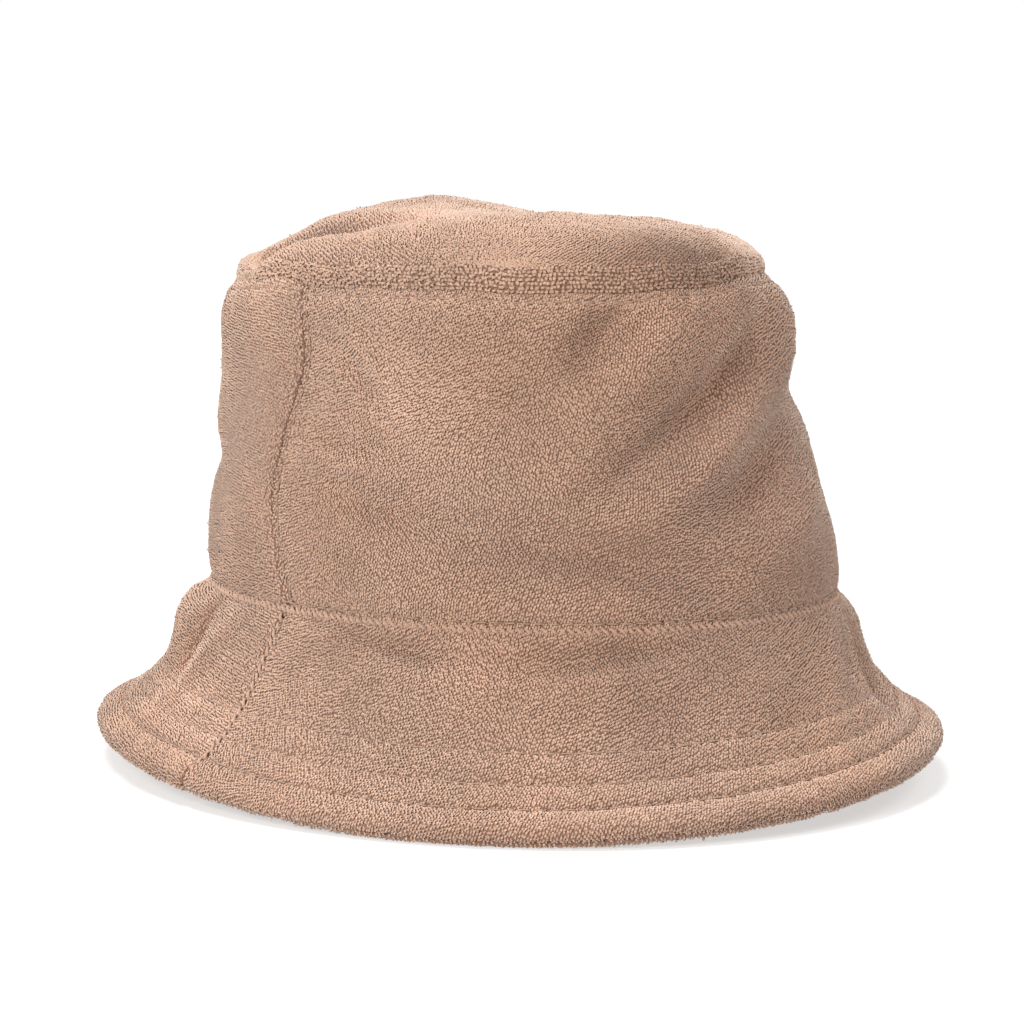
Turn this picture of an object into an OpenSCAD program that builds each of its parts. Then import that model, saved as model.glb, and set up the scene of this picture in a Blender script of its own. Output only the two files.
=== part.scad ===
// Bucket hat sewn from looped towelling: a domed tip, two crown panels and a brim of two halves,
// each in an upper and an under layer with a stiffener between them. Inside are a lining, a
// sweatband and a blank care label. Every row of stitches is a thread of its own.
// Millimetres, +Z up, front towards -Y, side seams on the X axis, standing on the brim's edge at Z = 0.

/* [Head oval] */
// Half width of the base seam's oval, from ear to ear
head_half_w = 82.5; // [72:0.5:92]
// Half length of the base seam's oval, from front to back
head_half_l = 97.5; // [86:0.5:108]

/* [Crown] */
// Height of the base seam, where the crown meets the brim
base_seam_z = 49; // [42:1:58]
// Height of the crown's side, from the base seam to the tip seam
crown_h = 85; // [70:1:100]
// How far the crown's side draws in on its way up
crown_taper = 8.5; // [0:0.5:14]
// Share of the side's height over which it draws in
taper_share = 0.7; // [0.5:0.05:1]
// Rise of the domed tip above the tip seam
tip_rise = 17; // [10:1:24]
// Extra height on the high side of the tip
tip_lean = 5; // [0:1:8]
// Azimuth of the tip's high side, from +X towards +Y
tip_high_at = 136; // [0:1:359]

/* [Brim] */
// Reach of the brim's edge outside the base seam
brim_reach = 31; // [26:1:40]
// Share of the reach that the brim gains evenly, before it flares out at its edge
brim_straight_share = 0.6; // [0.4:0.05:1]
// Height of the brim's two raised arcs above its two resting arcs
brim_lift = 12; // [0:1:16]
// Distances of the stitch rows from the brim's edge
brim_rows = [9, 17, 26]; // [5:1:32]

/* [Cloth] */
// Thickness of the towelling, loops included
towel_t = 2.2; // [1.6:0.1:2.4]
// Thickness of the brim's stiffener
stiffener_t = 0.8; // [0.4:0.1:1]
// Thickness of the lining cloth
lining_t = 0.4; // [0.3:0.1:0.6]
// Thickness of the sweatband
band_t = 0.8; // [0.5:0.1:1]
// Space between one layer of cloth and the next
layer_gap = 0.2; // [0.15:0.05:0.3]
// Space between two panels at the seam that joins them
seam_gap = 0.2; // [0.1:0.05:0.3]

/* [Sweatband and label] */
// Height of the sweatband
band_h = 30; // [24:1:36]
// Width of the care label
label_w = 24; // [16:1:28]
// Length of the care label from its sewn end to its free end
label_len = 38; // [24:1:42]
// Thickness of the folded label
label_t = 0.6; // [0.4:0.1:0.8]

/* [Thread] */
// Radius of the sewing thread
thread_r = 0.35; // [0.25:0.05:0.4]
// Distance of a topstitch row from its seam
topstitch_inset = 2.4; // [2:0.1:3.5]

/* [Hidden] */

towel_colour = [0.72, 0.56, 0.47];
under_colour = [0.68, 0.52, 0.44];
lining_colour = [0.80, 0.70, 0.62];
stiffener_colour = [0.90, 0.89, 0.86];
label_colour = [0.94, 0.93, 0.90];
thread_colour = [0.64, 0.47, 0.37];

// Oval angles run from +X towards +Y. Each step is one flat facet.
oval_step = 7.5;
front_from = 180;
back_from = 0;
band_join_at = 90;
rest_at = 45;

// The brim is swept about its middle line, and its layers are offsets from that line.
brim_half_t = towel_t + layer_gap + stiffener_t / 2;
under_side_t = brim_half_t - towel_t;
edge_arc_step = 30;
edge_split = 2;
stiffener_end = 0.955;
nudge = 0.001;

// Inner faces of the layers, as distances inwards from the crown's outer face
lining_in = towel_t + layer_gap;
band_in = lining_in + lining_t + layer_gap;
thread_out = thread_r + 0.12;
label_clearance = 0.6;
tip_z = base_seam_z + crown_h + seam_gap;
band_top_z = base_seam_z + band_h;

// Curves

function unit2(v) = v / norm(v);

function oval_point(t) = [head_half_w * cos(t), head_half_l * sin(t)];

function oval_normal(t) = unit2([cos(t) / head_half_w, sin(t) / head_half_l]);

// Carries a profile point [out, z] to the oval angle t.
function on_oval(p, t) = let (o = oval_point(t) + oval_normal(t) * p[0]) [o[0], o[1], p[1]];

// Degrees of oval angle that span a length at angle t
function oval_degrees(length, t) = length / norm([head_half_w * sin(t), head_half_l * cos(t)]) * 180 / PI;

// Oval angles from one seam to the next, a seam gap short of each
function half_angles(from) = let (gap = oval_degrees(seam_gap / 2, from))
    [from + gap, each [for (t = [oval_step:oval_step:180 - oval_step]) from + t], from + 180 - gap];

function ring_angles() = [for (t = [0:oval_step:360 - oval_step]) t];

// The crown's side, from v = 0 at the base seam to v = 1 at the tip seam
function crown_line(v) = [
    -crown_taper * (1 - cos(180 * min(max(v, 0) / taper_share, 1))) / 2,
    base_seam_z + crown_h * v
];

function crown_normal(v) = let (d = unit2(crown_line(v + nudge) - crown_line(v - nudge))) [d[1], -d[0]];

// A point on the crown's side, moved inwards by depth
function crown_point(v, depth) = crown_line(v) - crown_normal(v) * depth;

// Height of the brim's middle line above the floor at its edge
function edge_z(t) = brim_half_t + brim_lift * (1 - cos(2 * (t - rest_at))) / 2;

// The brim's middle line, from w = 0 at the base seam to w = 1 at the edge
function brim_line(w, t) =
    let (start = [-0.93 * brim_half_t, base_seam_z - 0.36 * brim_half_t])
    let (reach = brim_reach - brim_half_t - start[0])
    [
        start[0] + reach * (brim_straight_share * w + (1 - brim_straight_share) * pow(max(w, 0), 4)),
        start[1] - (start[1] - edge_z(t)) * w
    ];

function brim_normal(w, t) =
    let (d = unit2(brim_line(w + nudge, t) - brim_line(w - nudge, t))) [-d[1], d[0]];

// A point on a brim layer, side millimetres above the middle line
function brim_point(w, side, t) = brim_line(w, t) + brim_normal(w, t) * side;

// Distance along the brim from w to its edge, and the w of a row at a given distance from the edge
function brim_span(w, steps = 20) =
    let (at = function (i) brim_line(w + (1 - w) * i / steps, 0))
    brim_half_t + add([for (i = [1:steps]) norm(at(i) - at(i - 1))]);

function add(list, i = 0) = i < len(list) ? list[i] + add(list, i + 1) : 0;

brim_spans = [for (i = [40:-1:0]) [brim_span(i / 40), i / 40]];

function row_w(distance) = lookup(distance, brim_spans);

row_ws = [for (i = [len(brim_rows) - 1:-1:0]) row_w(brim_rows[i])];
brim_ws = [0.006, 0.16, 0.32, 0.48, each row_ws, 1];
crown_vs = [0.001, 0.12, 0.24, 0.36, 0.48, 0.6, 0.7, 0.85, 1];

// Sheets: a grid of two faces, outer and inner, with its rims and its ends closed

function quad(a, b, c, d) = [[a, b, c], [a, c, d]];

function strip_faces(rows, columns, closed) =
    let (last = closed ? columns - 1 : columns - 2)
    let (at = function (i, j, side) ((i % columns) * rows + j) * 2 + side)
    [
        for (i = [0:last], j = [0:rows - 2])
            each quad(at(i, j, 0), at(i, j + 1, 0), at(i + 1, j + 1, 0), at(i + 1, j, 0)),
        for (i = [0:last], j = [0:rows - 2])
            each quad(at(i, j, 1), at(i + 1, j, 1), at(i + 1, j + 1, 1), at(i, j + 1, 1)),
        for (i = [0:last])
            each quad(at(i, 0, 0), at(i + 1, 0, 0), at(i + 1, 0, 1), at(i, 0, 1)),
        for (i = [0:last])
            each quad(at(i, rows - 1, 1), at(i + 1, rows - 1, 1),
                      at(i + 1, rows - 1, 0), at(i, rows - 1, 0)),
        if (!closed) for (j = [0:rows - 2])
            each quad(at(0, j, 1), at(0, j + 1, 1), at(0, j + 1, 0), at(0, j, 0)),
        if (!closed) for (j = [0:rows - 2])
            each quad(at(columns - 1, j, 0), at(columns - 1, j + 1, 0),
                      at(columns - 1, j + 1, 1), at(columns - 1, j, 1))
    ];

// outer(t) and inner(t) list a profile's points [out, z] at oval angle t, in step with each other.
module sheet(angles, outer, inner, closed = false) {
    rows = len(outer(0));
    points = [for (t = angles) let (o = outer(t), n = inner(t)) for (j = [0:rows - 1])
        each [on_oval(o[j], t), on_oval(n[j], t)]];
    polyhedron(points, strip_faces(rows, len(angles), closed), convexity = 8);
}

// A sheet on the crown's side between two depths
module crown_sheet(angles, vs, depth_a, depth_b, closed = false) {
    sheet(angles,
          function (t) [for (v = vs) crown_point(v, depth_a)],
          function (t) [for (v = vs) crown_point(v, depth_b)],
          closed);
}

// One layer of the brim's towelling. side is 1 for the upper layer and -1 for the under layer,
// and the layer rolls round the edge to meet the other one.
module brim_towelling(from, side) {
    turns = [for (a = [90 - edge_arc_step:-edge_arc_step:edge_arc_step]) a, edge_split];
    rolled = function (radius, t)
        let (along = unit2(brim_line(1, t) - brim_line(1 - nudge, t)), up = brim_normal(1, t))
        [for (a = turns) brim_line(1, t) + along * radius * cos(a) + up * side * radius * sin(a)];
    skin = function (radius, t)
        [each [for (w = brim_ws) brim_point(w, side * radius, t)], each rolled(radius, t)];
    face = function (t) skin(brim_half_t, t);
    back = function (t) skin(under_side_t, t);
    if (side > 0) sheet(half_angles(from), back, face);
    else sheet(half_angles(from), face, back);
}

module brim_stiffener(from) {
    ws = [for (w = brim_ws) if (w < stiffener_end) w, stiffener_end];
    sheet(half_angles(from),
          function (t) [for (w = ws) brim_point(w, -stiffener_t / 2, t)],
          function (t) [for (w = ws) brim_point(w, stiffener_t / 2, t)]);
}

// Height of the domed tip above its seam, at share s of the way out to the seam
function dome(s, t) = tip_rise * (1 - pow(s, 3)) + 2.6 * tip_lean * s * (1 - s * s) * cos(t - tip_high_at);

// A domed oval of cloth. inset is how far its rim lies inside the crown's outer face, and drop is
// how far its top face lies below the tip's.
module domed(inset, drop, thickness) {
    angles = ring_angles();
    shares = [1, 0.94, 0.84, 0.68, 0.5, 0.28];
    columns = len(angles);
    rows = len(shares);
    rim = -crown_taper - inset;
    shell = function (s, t, sink)
        let (p = on_oval([rim, 0], t)) [p[0] * s, p[1] * s, tip_z + towel_t + dome(s, t) - sink];
    points = [
        for (s = shares, t = angles) shell(s, t, drop),
        for (s = shares, t = angles) shell(s, t, drop + thickness),
        shell(0, 0, drop),
        shell(0, 0, drop + thickness)
    ];
    top = function (j, i) j * columns + i % columns;
    low = function (j, i) (rows + j) * columns + i % columns;
    centre = 2 * rows * columns;
    faces = [
        for (j = [0:rows - 2], i = [0:columns - 1])
            each quad(top(j, i), top(j + 1, i), top(j + 1, i + 1), top(j, i + 1)),
        for (j = [0:rows - 2], i = [0:columns - 1])
            each quad(low(j, i), low(j, i + 1), low(j + 1, i + 1), low(j + 1, i)),
        for (i = [0:columns - 1]) [top(rows - 1, i), centre, top(rows - 1, i + 1)],
        for (i = [0:columns - 1]) [low(rows - 1, i), low(rows - 1, i + 1), centre + 1],
        for (i = [0:columns - 1]) each quad(top(0, i), top(0, i + 1), low(0, i + 1), low(0, i))
    ];
    polyhedron(points, faces, convexity = 8);
}

// A four-sided thread along a route. across(i) gives the two directions of its cross-section.
module thread(route, across, closed = false) {
    sides = 4;
    rings = len(route);
    points = [for (i = [0:rings - 1], k = [0:sides - 1])
        route[i] + thread_r * (across(i)[0] * cos(90 * k) + across(i)[1] * sin(90 * k))];
    last = closed ? rings - 1 : rings - 2;
    at = function (i, k) (i % rings) * sides + k % sides;
    faces = [
        for (i = [0:last], k = [0:sides - 1])
            each quad(at(i, k), at(i, k + 1), at(i + 1, k + 1), at(i + 1, k)),
        if (!closed) each quad(at(0, 3), at(0, 2), at(0, 1), at(0, 0)),
        if (!closed) each quad(at(rings - 1, 0), at(rings - 1, 1), at(rings - 1, 2), at(rings - 1, 3))
    ];
    polyhedron(points, faces, convexity = 8);
}

// A thread that runs round the oval through the profile point place(t)
module round_thread(place) {
    angles = ring_angles();
    thread([for (t = angles) on_oval(place(t), t)],
           function (i) [[oval_normal(angles[i])[0], oval_normal(angles[i])[1], 0], [0, 0, 1]],
           closed = true);
}

// A thread that runs up and down at one oval angle through the given profile points
module upright_thread(t, profile) {
    out = [oval_normal(t)[0], oval_normal(t)[1], 0];
    sideways = [-out[1], out[0], 0];
    slope = function (i) unit2(profile[min(i + 1, len(profile) - 1)] - profile[max(i - 1, 0)]);
    thread([for (p = profile) on_oval(p, t)],
           function (i) [sideways, out * slope(i)[1] - [0, 0, slope(i)[0]]]);
}

// Towelling

module crown_tip() {
    color(towel_colour) domed(0, 0, towel_t);
}

module crown_panel(from) {
    color(towel_colour) crown_sheet(half_angles(from), crown_vs, 0, towel_t);
}

module front_crown_panel() crown_panel(front_from);

module back_crown_panel() crown_panel(back_from);

module front_upper_brim() color(towel_colour) brim_towelling(front_from, 1);

module back_upper_brim() color(towel_colour) brim_towelling(back_from, 1);

module front_under_brim() color(under_colour) brim_towelling(front_from, -1);

module back_under_brim() color(under_colour) brim_towelling(back_from, -1);

// Inner layers

module front_brim_stiffener() color(stiffener_colour) brim_stiffener(front_from);

module back_brim_stiffener() color(stiffener_colour) brim_stiffener(back_from);

module lining_tip() {
    color(lining_colour) domed(lining_in, towel_t + layer_gap, lining_t);
}

module lining_panel(from) {
    lining_vs = [for (v = crown_vs) min(v, 1 - 1 / crown_h)];
    color(lining_colour) crown_sheet(half_angles(from), lining_vs, lining_in, lining_in + lining_t);
}

module front_lining_panel() lining_panel(front_from);

module back_lining_panel() lining_panel(back_from);

module sweatband() {
    gap = oval_degrees(seam_gap, band_join_at);
    angles = [band_join_at + gap, each [for (t = [oval_step:oval_step:360 - oval_step]) band_join_at + t],
              band_join_at + 360 - gap];
    band_vs = [for (v = crown_vs) if (v * crown_h < band_h) v, band_h / crown_h];
    color(lining_colour) crown_sheet(angles, band_vs, band_in, band_in + band_t);
}

// The label hangs from the sweatband's top edge at the centre back, and swings on its sewn end.
// It is flat and the band is curved, so it lies inside the band by the rise of its own arc.
label_hinge_z = band_top_z - 2;
label_arc_rise = label_w * label_w * head_half_l / (8 * head_half_w * head_half_w);
band_face_y = head_half_l + crown_point((label_hinge_z - base_seam_z) / crown_h, band_in + band_t)[0];
label_hinge_y = band_face_y - label_arc_rise - label_clearance - label_t / 2;

module care_label() {
    color(label_colour)
        translate([-label_w / 2, label_hinge_y - label_t / 2, label_hinge_z - label_len])
            cube([label_w, label_t, label_len]);
}

// Thread

// The brim's rows, on its upper face where side is 1 and on its under face where side is -1
module brim_row_threads(side) {
    color(thread_colour) for (w = row_ws)
        round_thread(function (t) brim_point(w, side * (brim_half_t + thread_out), t));
}

module brim_topstitching() brim_row_threads(1);

module brim_understitching() brim_row_threads(-1);

module base_topstitching() {
    color(thread_colour) round_thread(function (t) crown_point(topstitch_inset / crown_h, -thread_out));
}

module tip_topstitching() {
    color(thread_colour) round_thread(function (t) crown_point(1 - topstitch_inset / crown_h, -thread_out));
}

module side_seam_topstitching() {
    ends = [2 * topstitch_inset / crown_h, 1 - 2 * topstitch_inset / crown_h];
    vs = [ends[0], each [for (v = crown_vs) if (v > ends[0] && v < ends[1]) v], ends[1]];
    color(thread_colour) for (seam = [front_from, back_from], side = [-1, 1])
        upright_thread(seam + side * oval_degrees(topstitch_inset, seam),
                       [for (v = vs) crown_point(v, -thread_out)]);
}

module brim_seam_stitching() {
    ws = [0.04, each [for (w = brim_ws) if (w > 0.04 && w < row_ws[0] - 0.05) w], row_ws[0] - 0.04];
    color(thread_colour) for (seam = [front_from, back_from], side = [-1, 1])
        let (t = seam + side * oval_degrees(topstitch_inset, seam))
        upright_thread(t, [for (w = ws) brim_point(w, brim_half_t + thread_out, t)]);
}

module sweatband_stitching() {
    color(thread_colour)
        round_thread(function (t) crown_point(topstitch_inset / crown_h, band_in + band_t + thread_out));
}

crown_tip();
front_crown_panel();
back_crown_panel();
front_upper_brim();
back_upper_brim();
front_under_brim();
back_under_brim();
front_brim_stiffener();
back_brim_stiffener();
lining_tip();
front_lining_panel();
back_lining_panel();
sweatband();
care_label();
brim_topstitching();
brim_understitching();
base_topstitching();
tip_topstitching();
side_seam_topstitching();
brim_seam_stitching();
sweatband_stitching();
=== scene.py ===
"""Bucket hat in looped towelling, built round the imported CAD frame.

Lengths inside the shape functions are millimetres, as in the CAD source, and every mesh is made
in metres. The hat's front faces -Y, its side seams lie on the X axis, and oval angles run from +X
towards +Y. Each layer of cloth is an offset from one smooth surface, with one field of folds and
dents for the crown's side, one for the tip and one for the brim, so the layers stay nested.
"""
import bpy
import math
import numpy as np
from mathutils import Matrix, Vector


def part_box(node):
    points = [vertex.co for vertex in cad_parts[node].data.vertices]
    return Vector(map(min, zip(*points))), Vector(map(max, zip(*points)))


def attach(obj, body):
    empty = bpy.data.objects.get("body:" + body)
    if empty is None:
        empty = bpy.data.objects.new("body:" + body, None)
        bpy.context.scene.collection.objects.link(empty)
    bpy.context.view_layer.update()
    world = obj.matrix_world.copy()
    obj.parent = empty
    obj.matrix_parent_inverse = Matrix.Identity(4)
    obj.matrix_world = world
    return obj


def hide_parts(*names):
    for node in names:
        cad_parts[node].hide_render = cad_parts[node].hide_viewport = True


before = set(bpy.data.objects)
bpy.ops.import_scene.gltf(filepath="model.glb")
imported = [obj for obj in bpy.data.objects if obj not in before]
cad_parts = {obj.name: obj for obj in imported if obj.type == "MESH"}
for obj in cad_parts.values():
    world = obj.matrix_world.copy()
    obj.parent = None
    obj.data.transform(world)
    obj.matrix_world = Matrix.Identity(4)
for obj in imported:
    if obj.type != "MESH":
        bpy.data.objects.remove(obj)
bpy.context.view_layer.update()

MM = 0.001


# ---- sizes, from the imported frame

panel_low, panel_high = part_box("front_crown_panel")
tip_low, tip_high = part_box("crown_tip")
band_low, band_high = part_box("sweatband")
label_low, label_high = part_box("care_label")
brim_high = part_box("front_upper_brim")[1]

HALF_W = panel_high[0] / MM              # base seam's oval, half width and half length
HALF_L = -panel_low[1] / MM
BASE_Z = panel_low[2] / MM               # height of the base seam
SIDE_H = (panel_high[2] - panel_low[2]) / MM
SIDE_TOP_Z = panel_high[2] / MM
TAPER = HALF_W - tip_high[0] / MM        # how far the side draws in up to the tip seam
REACH = brim_high[0] / MM - HALF_W       # how far the brim stands out from the base seam
BAND_H = (band_high[2] - band_low[2]) / MM

# Sizes of the cloth that boxes can't give, as in the CAD source
TOWEL_T = 2.2
STIFFENER_T = 0.8
LINING_T = 0.4
BAND_T = 0.8
LAYER_GAP = 0.2
BRIM_HALF_T = TOWEL_T + LAYER_GAP + STIFFENER_T / 2
LINING_IN = TOWEL_T + LAYER_GAP
BAND_IN = LINING_IN + LINING_T + LAYER_GAP
TOPSTITCH_INSET = 2.4
STIFFENER_END = 0.955                    # share of the brim's slope that the CAD's stiffener reaches

# The visible hat's own shape, set against the photograph, so not quite the CAD's
TAPER_SHARE = 0.78                       # share of the side's height by which it has drawn in
BRIM_STRAIGHT_SHARE = 0.62               # share of the brim's reach that is straight
BRIM_ROWS = (9.0, 17.0, 26.0)            # rows of stitches, from the brim's edge
BRIM_LONGER = 1.25                       # the brim's length round over the base seam's, for its cloth
SEAMS = (0.0, 180.0)                     # oval angles of the side seams


# ---- numbers that repeat

def smooth(x):
    """0 to 1 with level ends."""
    x = np.clip(x, 0.0, 1.0)
    return x * x * (3 - 2 * x)


def hashed(ix, iy, iz, seed):
    """A repeatable random number from -1 to 1 for each whole-numbered point."""
    with np.errstate(over="ignore"):
        h = (ix.astype(np.uint32) * np.uint32(374761393) + iy.astype(np.uint32) * np.uint32(668265263)
             + iz.astype(np.uint32) * np.uint32(2246822519) + np.uint32(seed * 3266489917 % 2**32))
        h = (h ^ (h >> np.uint32(13))) * np.uint32(1274126177)
        h = h ^ (h >> np.uint32(16))
    return h.astype(np.float64) / 2147483648.0 - 1.0


def noise(points, size, seed):
    """Smooth noise from -1 to 1 at points (..., 3), with lumps about size across."""
    p = np.asarray(points, float) / size
    low = np.floor(p).astype(np.int64)
    f = smooth(p - low)
    total = np.zeros(p.shape[:-1])
    for corner in np.ndindex(2, 2, 2):
        weight = np.ones(p.shape[:-1])
        for axis in range(3):
            weight = weight * (f[..., axis] if corner[axis] else 1 - f[..., axis])
        at = low + np.array(corner)
        total += weight * hashed(at[..., 0], at[..., 1], at[..., 2], seed)
    return total


def cos_sin(degrees):
    return math.cos(math.radians(degrees)), math.sin(math.radians(degrees))


def around(t, t0):
    """Degrees from t0 to t, the short way round."""
    return (t - t0 + 180) % 360 - 180


def hump(x, at, width):
    """A smooth bump in x, 1 at its middle."""
    return np.exp(-((x - at) / width) ** 2)


def unit(v):
    return v / np.maximum(np.linalg.norm(v, axis=-1, keepdims=True), 1e-9)


# ---- the smooth surfaces

def oval(t):
    """Point and outward direction of the base seam's oval at angles t, in degrees."""
    c, s = np.cos(np.radians(t)), np.sin(np.radians(t))
    out = unit(np.stack([c / HALF_W, s / HALF_L], -1))
    return np.stack([HALF_W * c, HALF_L * s], -1), out


LEAN = 5.1                               # how far the crown's upper part has slumped sideways
LEAN_AT = 140.0                          # direction of that, in degrees from +X
LEAN_FROM = 0.16                         # shares of the side's height where it starts and is full
LEAN_FULL = 0.66
BRIM_LEAN = 2.0                          # and how far the brim's edge has, the same way


def leaned(points):
    """Points moved with the crown's slump and the brim's, which depend on their height."""
    share = (points[..., 2] - BASE_Z) / SIDE_H
    moved = LEAN * smooth((share - LEAN_FROM) / (LEAN_FULL - LEAN_FROM))
    moved = moved + BRIM_LEAN * smooth((BASE_Z - points[..., 2]) / BASE_Z)
    direction = np.array([*cos_sin(LEAN_AT), 0.0])
    return points + moved[..., None] * direction


def on_oval(r, z, t):
    """The profile points (r out, z up) carried to the oval angles t."""
    point, out = oval(t)
    xy = point + out * r[..., None]
    return leaned(np.concatenate([xy, z[..., None]], -1))


def bell(t, t0, width):
    """A smooth bump in the oval angle t, 1 at t0."""
    return np.exp(-(around(t, t0) / width) ** 2)


def seam_rise(t):
    """How much higher than its mean line the tip seam lies at angle t."""
    waves = 0.35 * np.sin(np.radians(9 * t + 40)) + 0.25 * np.sin(np.radians(17 * t))
    return 2.0 + 3.0 * bell(t, 300, 30) + 1.4 * bell(t, 174, 12) - 1.0 * bell(t, 243, 12) + waves


def shoulder(t):
    """How far the side's top draws in to the tip seam at angle t."""
    return 3.6 + 4.2 * bell(t, 312, 34) + 1.6 * bell(t, 136, 30)


def side_line(v):
    draw = (1 - np.cos(np.pi * np.clip(v / TAPER_SHARE, 0, 1))) / 2
    return -TAPER * draw, BASE_Z + SIDE_H * v


def edge_lift(t):
    """Height of the brim's edge above the floor: it rests towards the camera side and behind."""
    tilt = LIFT_TILT * np.cos(np.radians(t - LIFT_AT))
    return LIFT_MEAN * (1 - np.cos(np.radians(2 * (t - REST_AT)))) + tilt


def brim_line(w, t):
    start_r, start_z = -0.93 * BRIM_HALF_T, BASE_Z - 0.36 * BRIM_HALF_T
    reach = REACH - BRIM_HALF_T - start_r
    w0 = np.maximum(w, 0)
    r = start_r + reach * (BRIM_STRAIGHT_SHARE * w + (1 - BRIM_STRAIGHT_SHARE) * w0 ** 5)
    edge = BRIM_HALF_T + EDGE_RAISE + edge_lift(t)
    return r, start_z - (start_z - edge) * w


def profile_normal(line, x, *more):
    """The direction at right angles to a profile line, in its plane and outward: (out, up)."""
    r1, z1 = line(x + 1e-3, *more)
    r0, z0 = line(x - 1e-3, *more)
    d = unit(np.stack([r1 - r0, z1 - z0], -1))
    outward = np.where(d[..., 1] > 0, 1.0, -1.0)
    return outward * d[..., 1], -outward * d[..., 0]


# ---- folds, dents and stitches

REST_AT = 45.0           # oval angle of one of the brim's two resting arcs
LIFT_MEAN = 3.8          # half of the brim's lift between them
LIFT_TILT = -0.5         # how much more it lifts at LIFT_AT than opposite
LIFT_AT = 140.0
EDGE_RAISE = 0.3         # room under the rolled edge for its loops
GROUND_IN = 0.2          # how far the woven ground lies inside the pile's top
PRESSED_AT = 0.15        # the floor presses the ground and the pile flat at this height

# Folds on the crown's side: oval angle, share of height, half length and half width in mm,
# turn from level in degrees, depth in mm (positive stands out).
SIDE_FOLDS = (
    (138, 0.43, 22, 5.0, 4, -1.7),
    (140, 0.22, 24, 10.0, -6, 1.2),
    (150, 0.70, 22, 12.0, 0, -1.0),
    (168, 0.30, 12, 12.0, 60, 1.5),
    (196, 0.80, 14, 3.6, -36, 2.0),
    (198, 0.71, 15, 3.4, -30, -2.4),
    (205, 0.63, 20, 4.5, -22, 2.6),
    (194, 0.545, 15, 3.4, -8, -1.8),
    (199, 0.47, 18, 4.0, -4, 1.8),
    (200, 0.37, 20, 5.0, -12, -2.4),
    (226, 0.07, 44, 4.0, -3, 1.6),
    (240, 0.235, 40, 7.0, -13, -6.4),
    (228, 0.345, 34, 8.0, -10, 2.4),
    (245, 0.875, 13, 7.0, 34, -5.6),
    (252, 0.78, 16, 7.5, 24, 5.0),
    (222, 0.52, 30, 12.0, 6, 1.4),
    (264, 0.65, 38, 5.4, 31, -6.0),
    (270, 0.555, 30, 5.0, 30, 4.4),
    (278, 0.455, 28, 5.4, 27, -4.6),
    (287, 0.29, 26, 6.0, 24, 2.6),
    (296, 0.76, 16, 6.0, 34, 2.4),
    (318, 0.52, 22, 9.0, 10, 1.8),
    (312, 0.66, 20, 5.0, 8, -1.4),
    (20, 0.45, 26, 8.0, -24, -2.0),
    (45, 0.62, 24, 8.0, 18, -1.8),
    (70, 0.34, 26, 7.0, -12, -1.8),
    (95, 0.58, 22, 9.0, 26, 1.8),
    (112, 0.40, 20, 6.0, -30, -1.7),
    (340, 0.55, 24, 8.0, 22, -1.8),
)

# Folds on the brim: oval angle, share of width, half length, half width, turn from level, height
BRIM_FOLDS = (
    (142, 0.24, 24, 15.0, 0, 5.2),
    (156, 0.34, 16, 3.4, 80, -4.0),
    (163, 0.46, 18, 5.0, 68, 2.2),
    (146, 0.62, 18, 6.0, 60, 1.2),
    (190, 0.30, 16, 6.0, 40, -1.0),
    (205, 0.11, 18, 4.5, -10, -3.8),
    (238, 0.13, 30, 4.8, 8, -3.0),
    (262, 0.52, 22, 9.0, 30, 1.2),
    (286, 0.40, 18, 6.0, 60, 1.2),
    (302, 0.50, 18, 5.0, 76, -3.2),
    (313, 0.64, 20, 7.0, 66, -2.4),
    (322, 0.30, 16, 6.0, 84, 2.0),
    (318, 0.20, 22, 12.0, 0, 1.6),
    (350, 0.50, 18, 7.0, 70, -1.6),
    (20, 0.48, 20, 8.0, 60, 1.5),
    (52, 0.40, 20, 7.0, 75, -1.8),
    (84, 0.52, 18, 7.0, 100, 1.6),
    (112, 0.44, 18, 6.0, 80, -1.8),
)

# Patches of painted shade on the pile, darker where the hat lies in shade, in the tip's hollows and low on
# the crown, and of painted light, paler below 0, where it is lit: place in mm, half sizes across and up,
# share
PAINTED_SHADE_AND_LIGHT = (
    ((-13, -74, 146), (21, 10), 0.41),
    ((-58, 38, 148), (14, 8), 0.14),
    ((-48, -40, 145), (30, 8), 0.08),
    ((-86, -22, 44), (16, 7), 0.16),
    ((-30, -84, 44), (26, 7), 0.15),
    ((-30, -77, 68), (28, 9), 0.16),
    ((23, -86, 58), (22, 8), 0.14),
    ((-41, -70, 116), (18, 10), 0.12),
    ((-18, -81, 107), (14, 7), -0.08),
    ((-77, -32, 107), (12, 8), -0.06),
    ((-80, -31, 78), (18, 6), 0.08),
    ((-98, 30, 20), (24, 12), -0.12),
    ((37, -70, 88), (16, 16), -0.12),
    ((-25, -107, 12), (34, 6), -0.08),
    ((18, -108, 24), (26, 14), -0.18),
)

# Dents and rises of the tip: x and y as shares of its half width and length, half length and half
# width in mm, turn from +X in degrees, height
TIP_FOLDS = (
    (-0.20, 0.22, 40, 26, 60, 4.8),
    (-0.835, 0.20, 27, 3.8, 101, -8.0),
    (-0.93, 0.33, 9, 3.4, 101, -9.0),
    (-0.62, 0.62, 24, 14, 60, -3.5),
    (-0.66, 0.12, 24, 6.0, 98, 1.6),
    (0.36, -0.34, 28, 26, -40, -6.2),
    (0.12, -0.64, 18, 8, -50, 0.2),
    (0.50, -0.62, 18, 5.5, -74, -3.6),
    (0.70, -0.40, 16, 9, -50, 1.6),
    (0.46, 0.20, 30, 18, -50, -0.8),
    (0.62, -0.12, 24, 16, -40, -3.6),
    (0.10, 0.54, 30, 16, 10, -2.6),
    (-0.10, 0.72, 24, 10, 10, 1.6),
)

STITCH = 3.8             # length of one stitch and its gap


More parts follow.
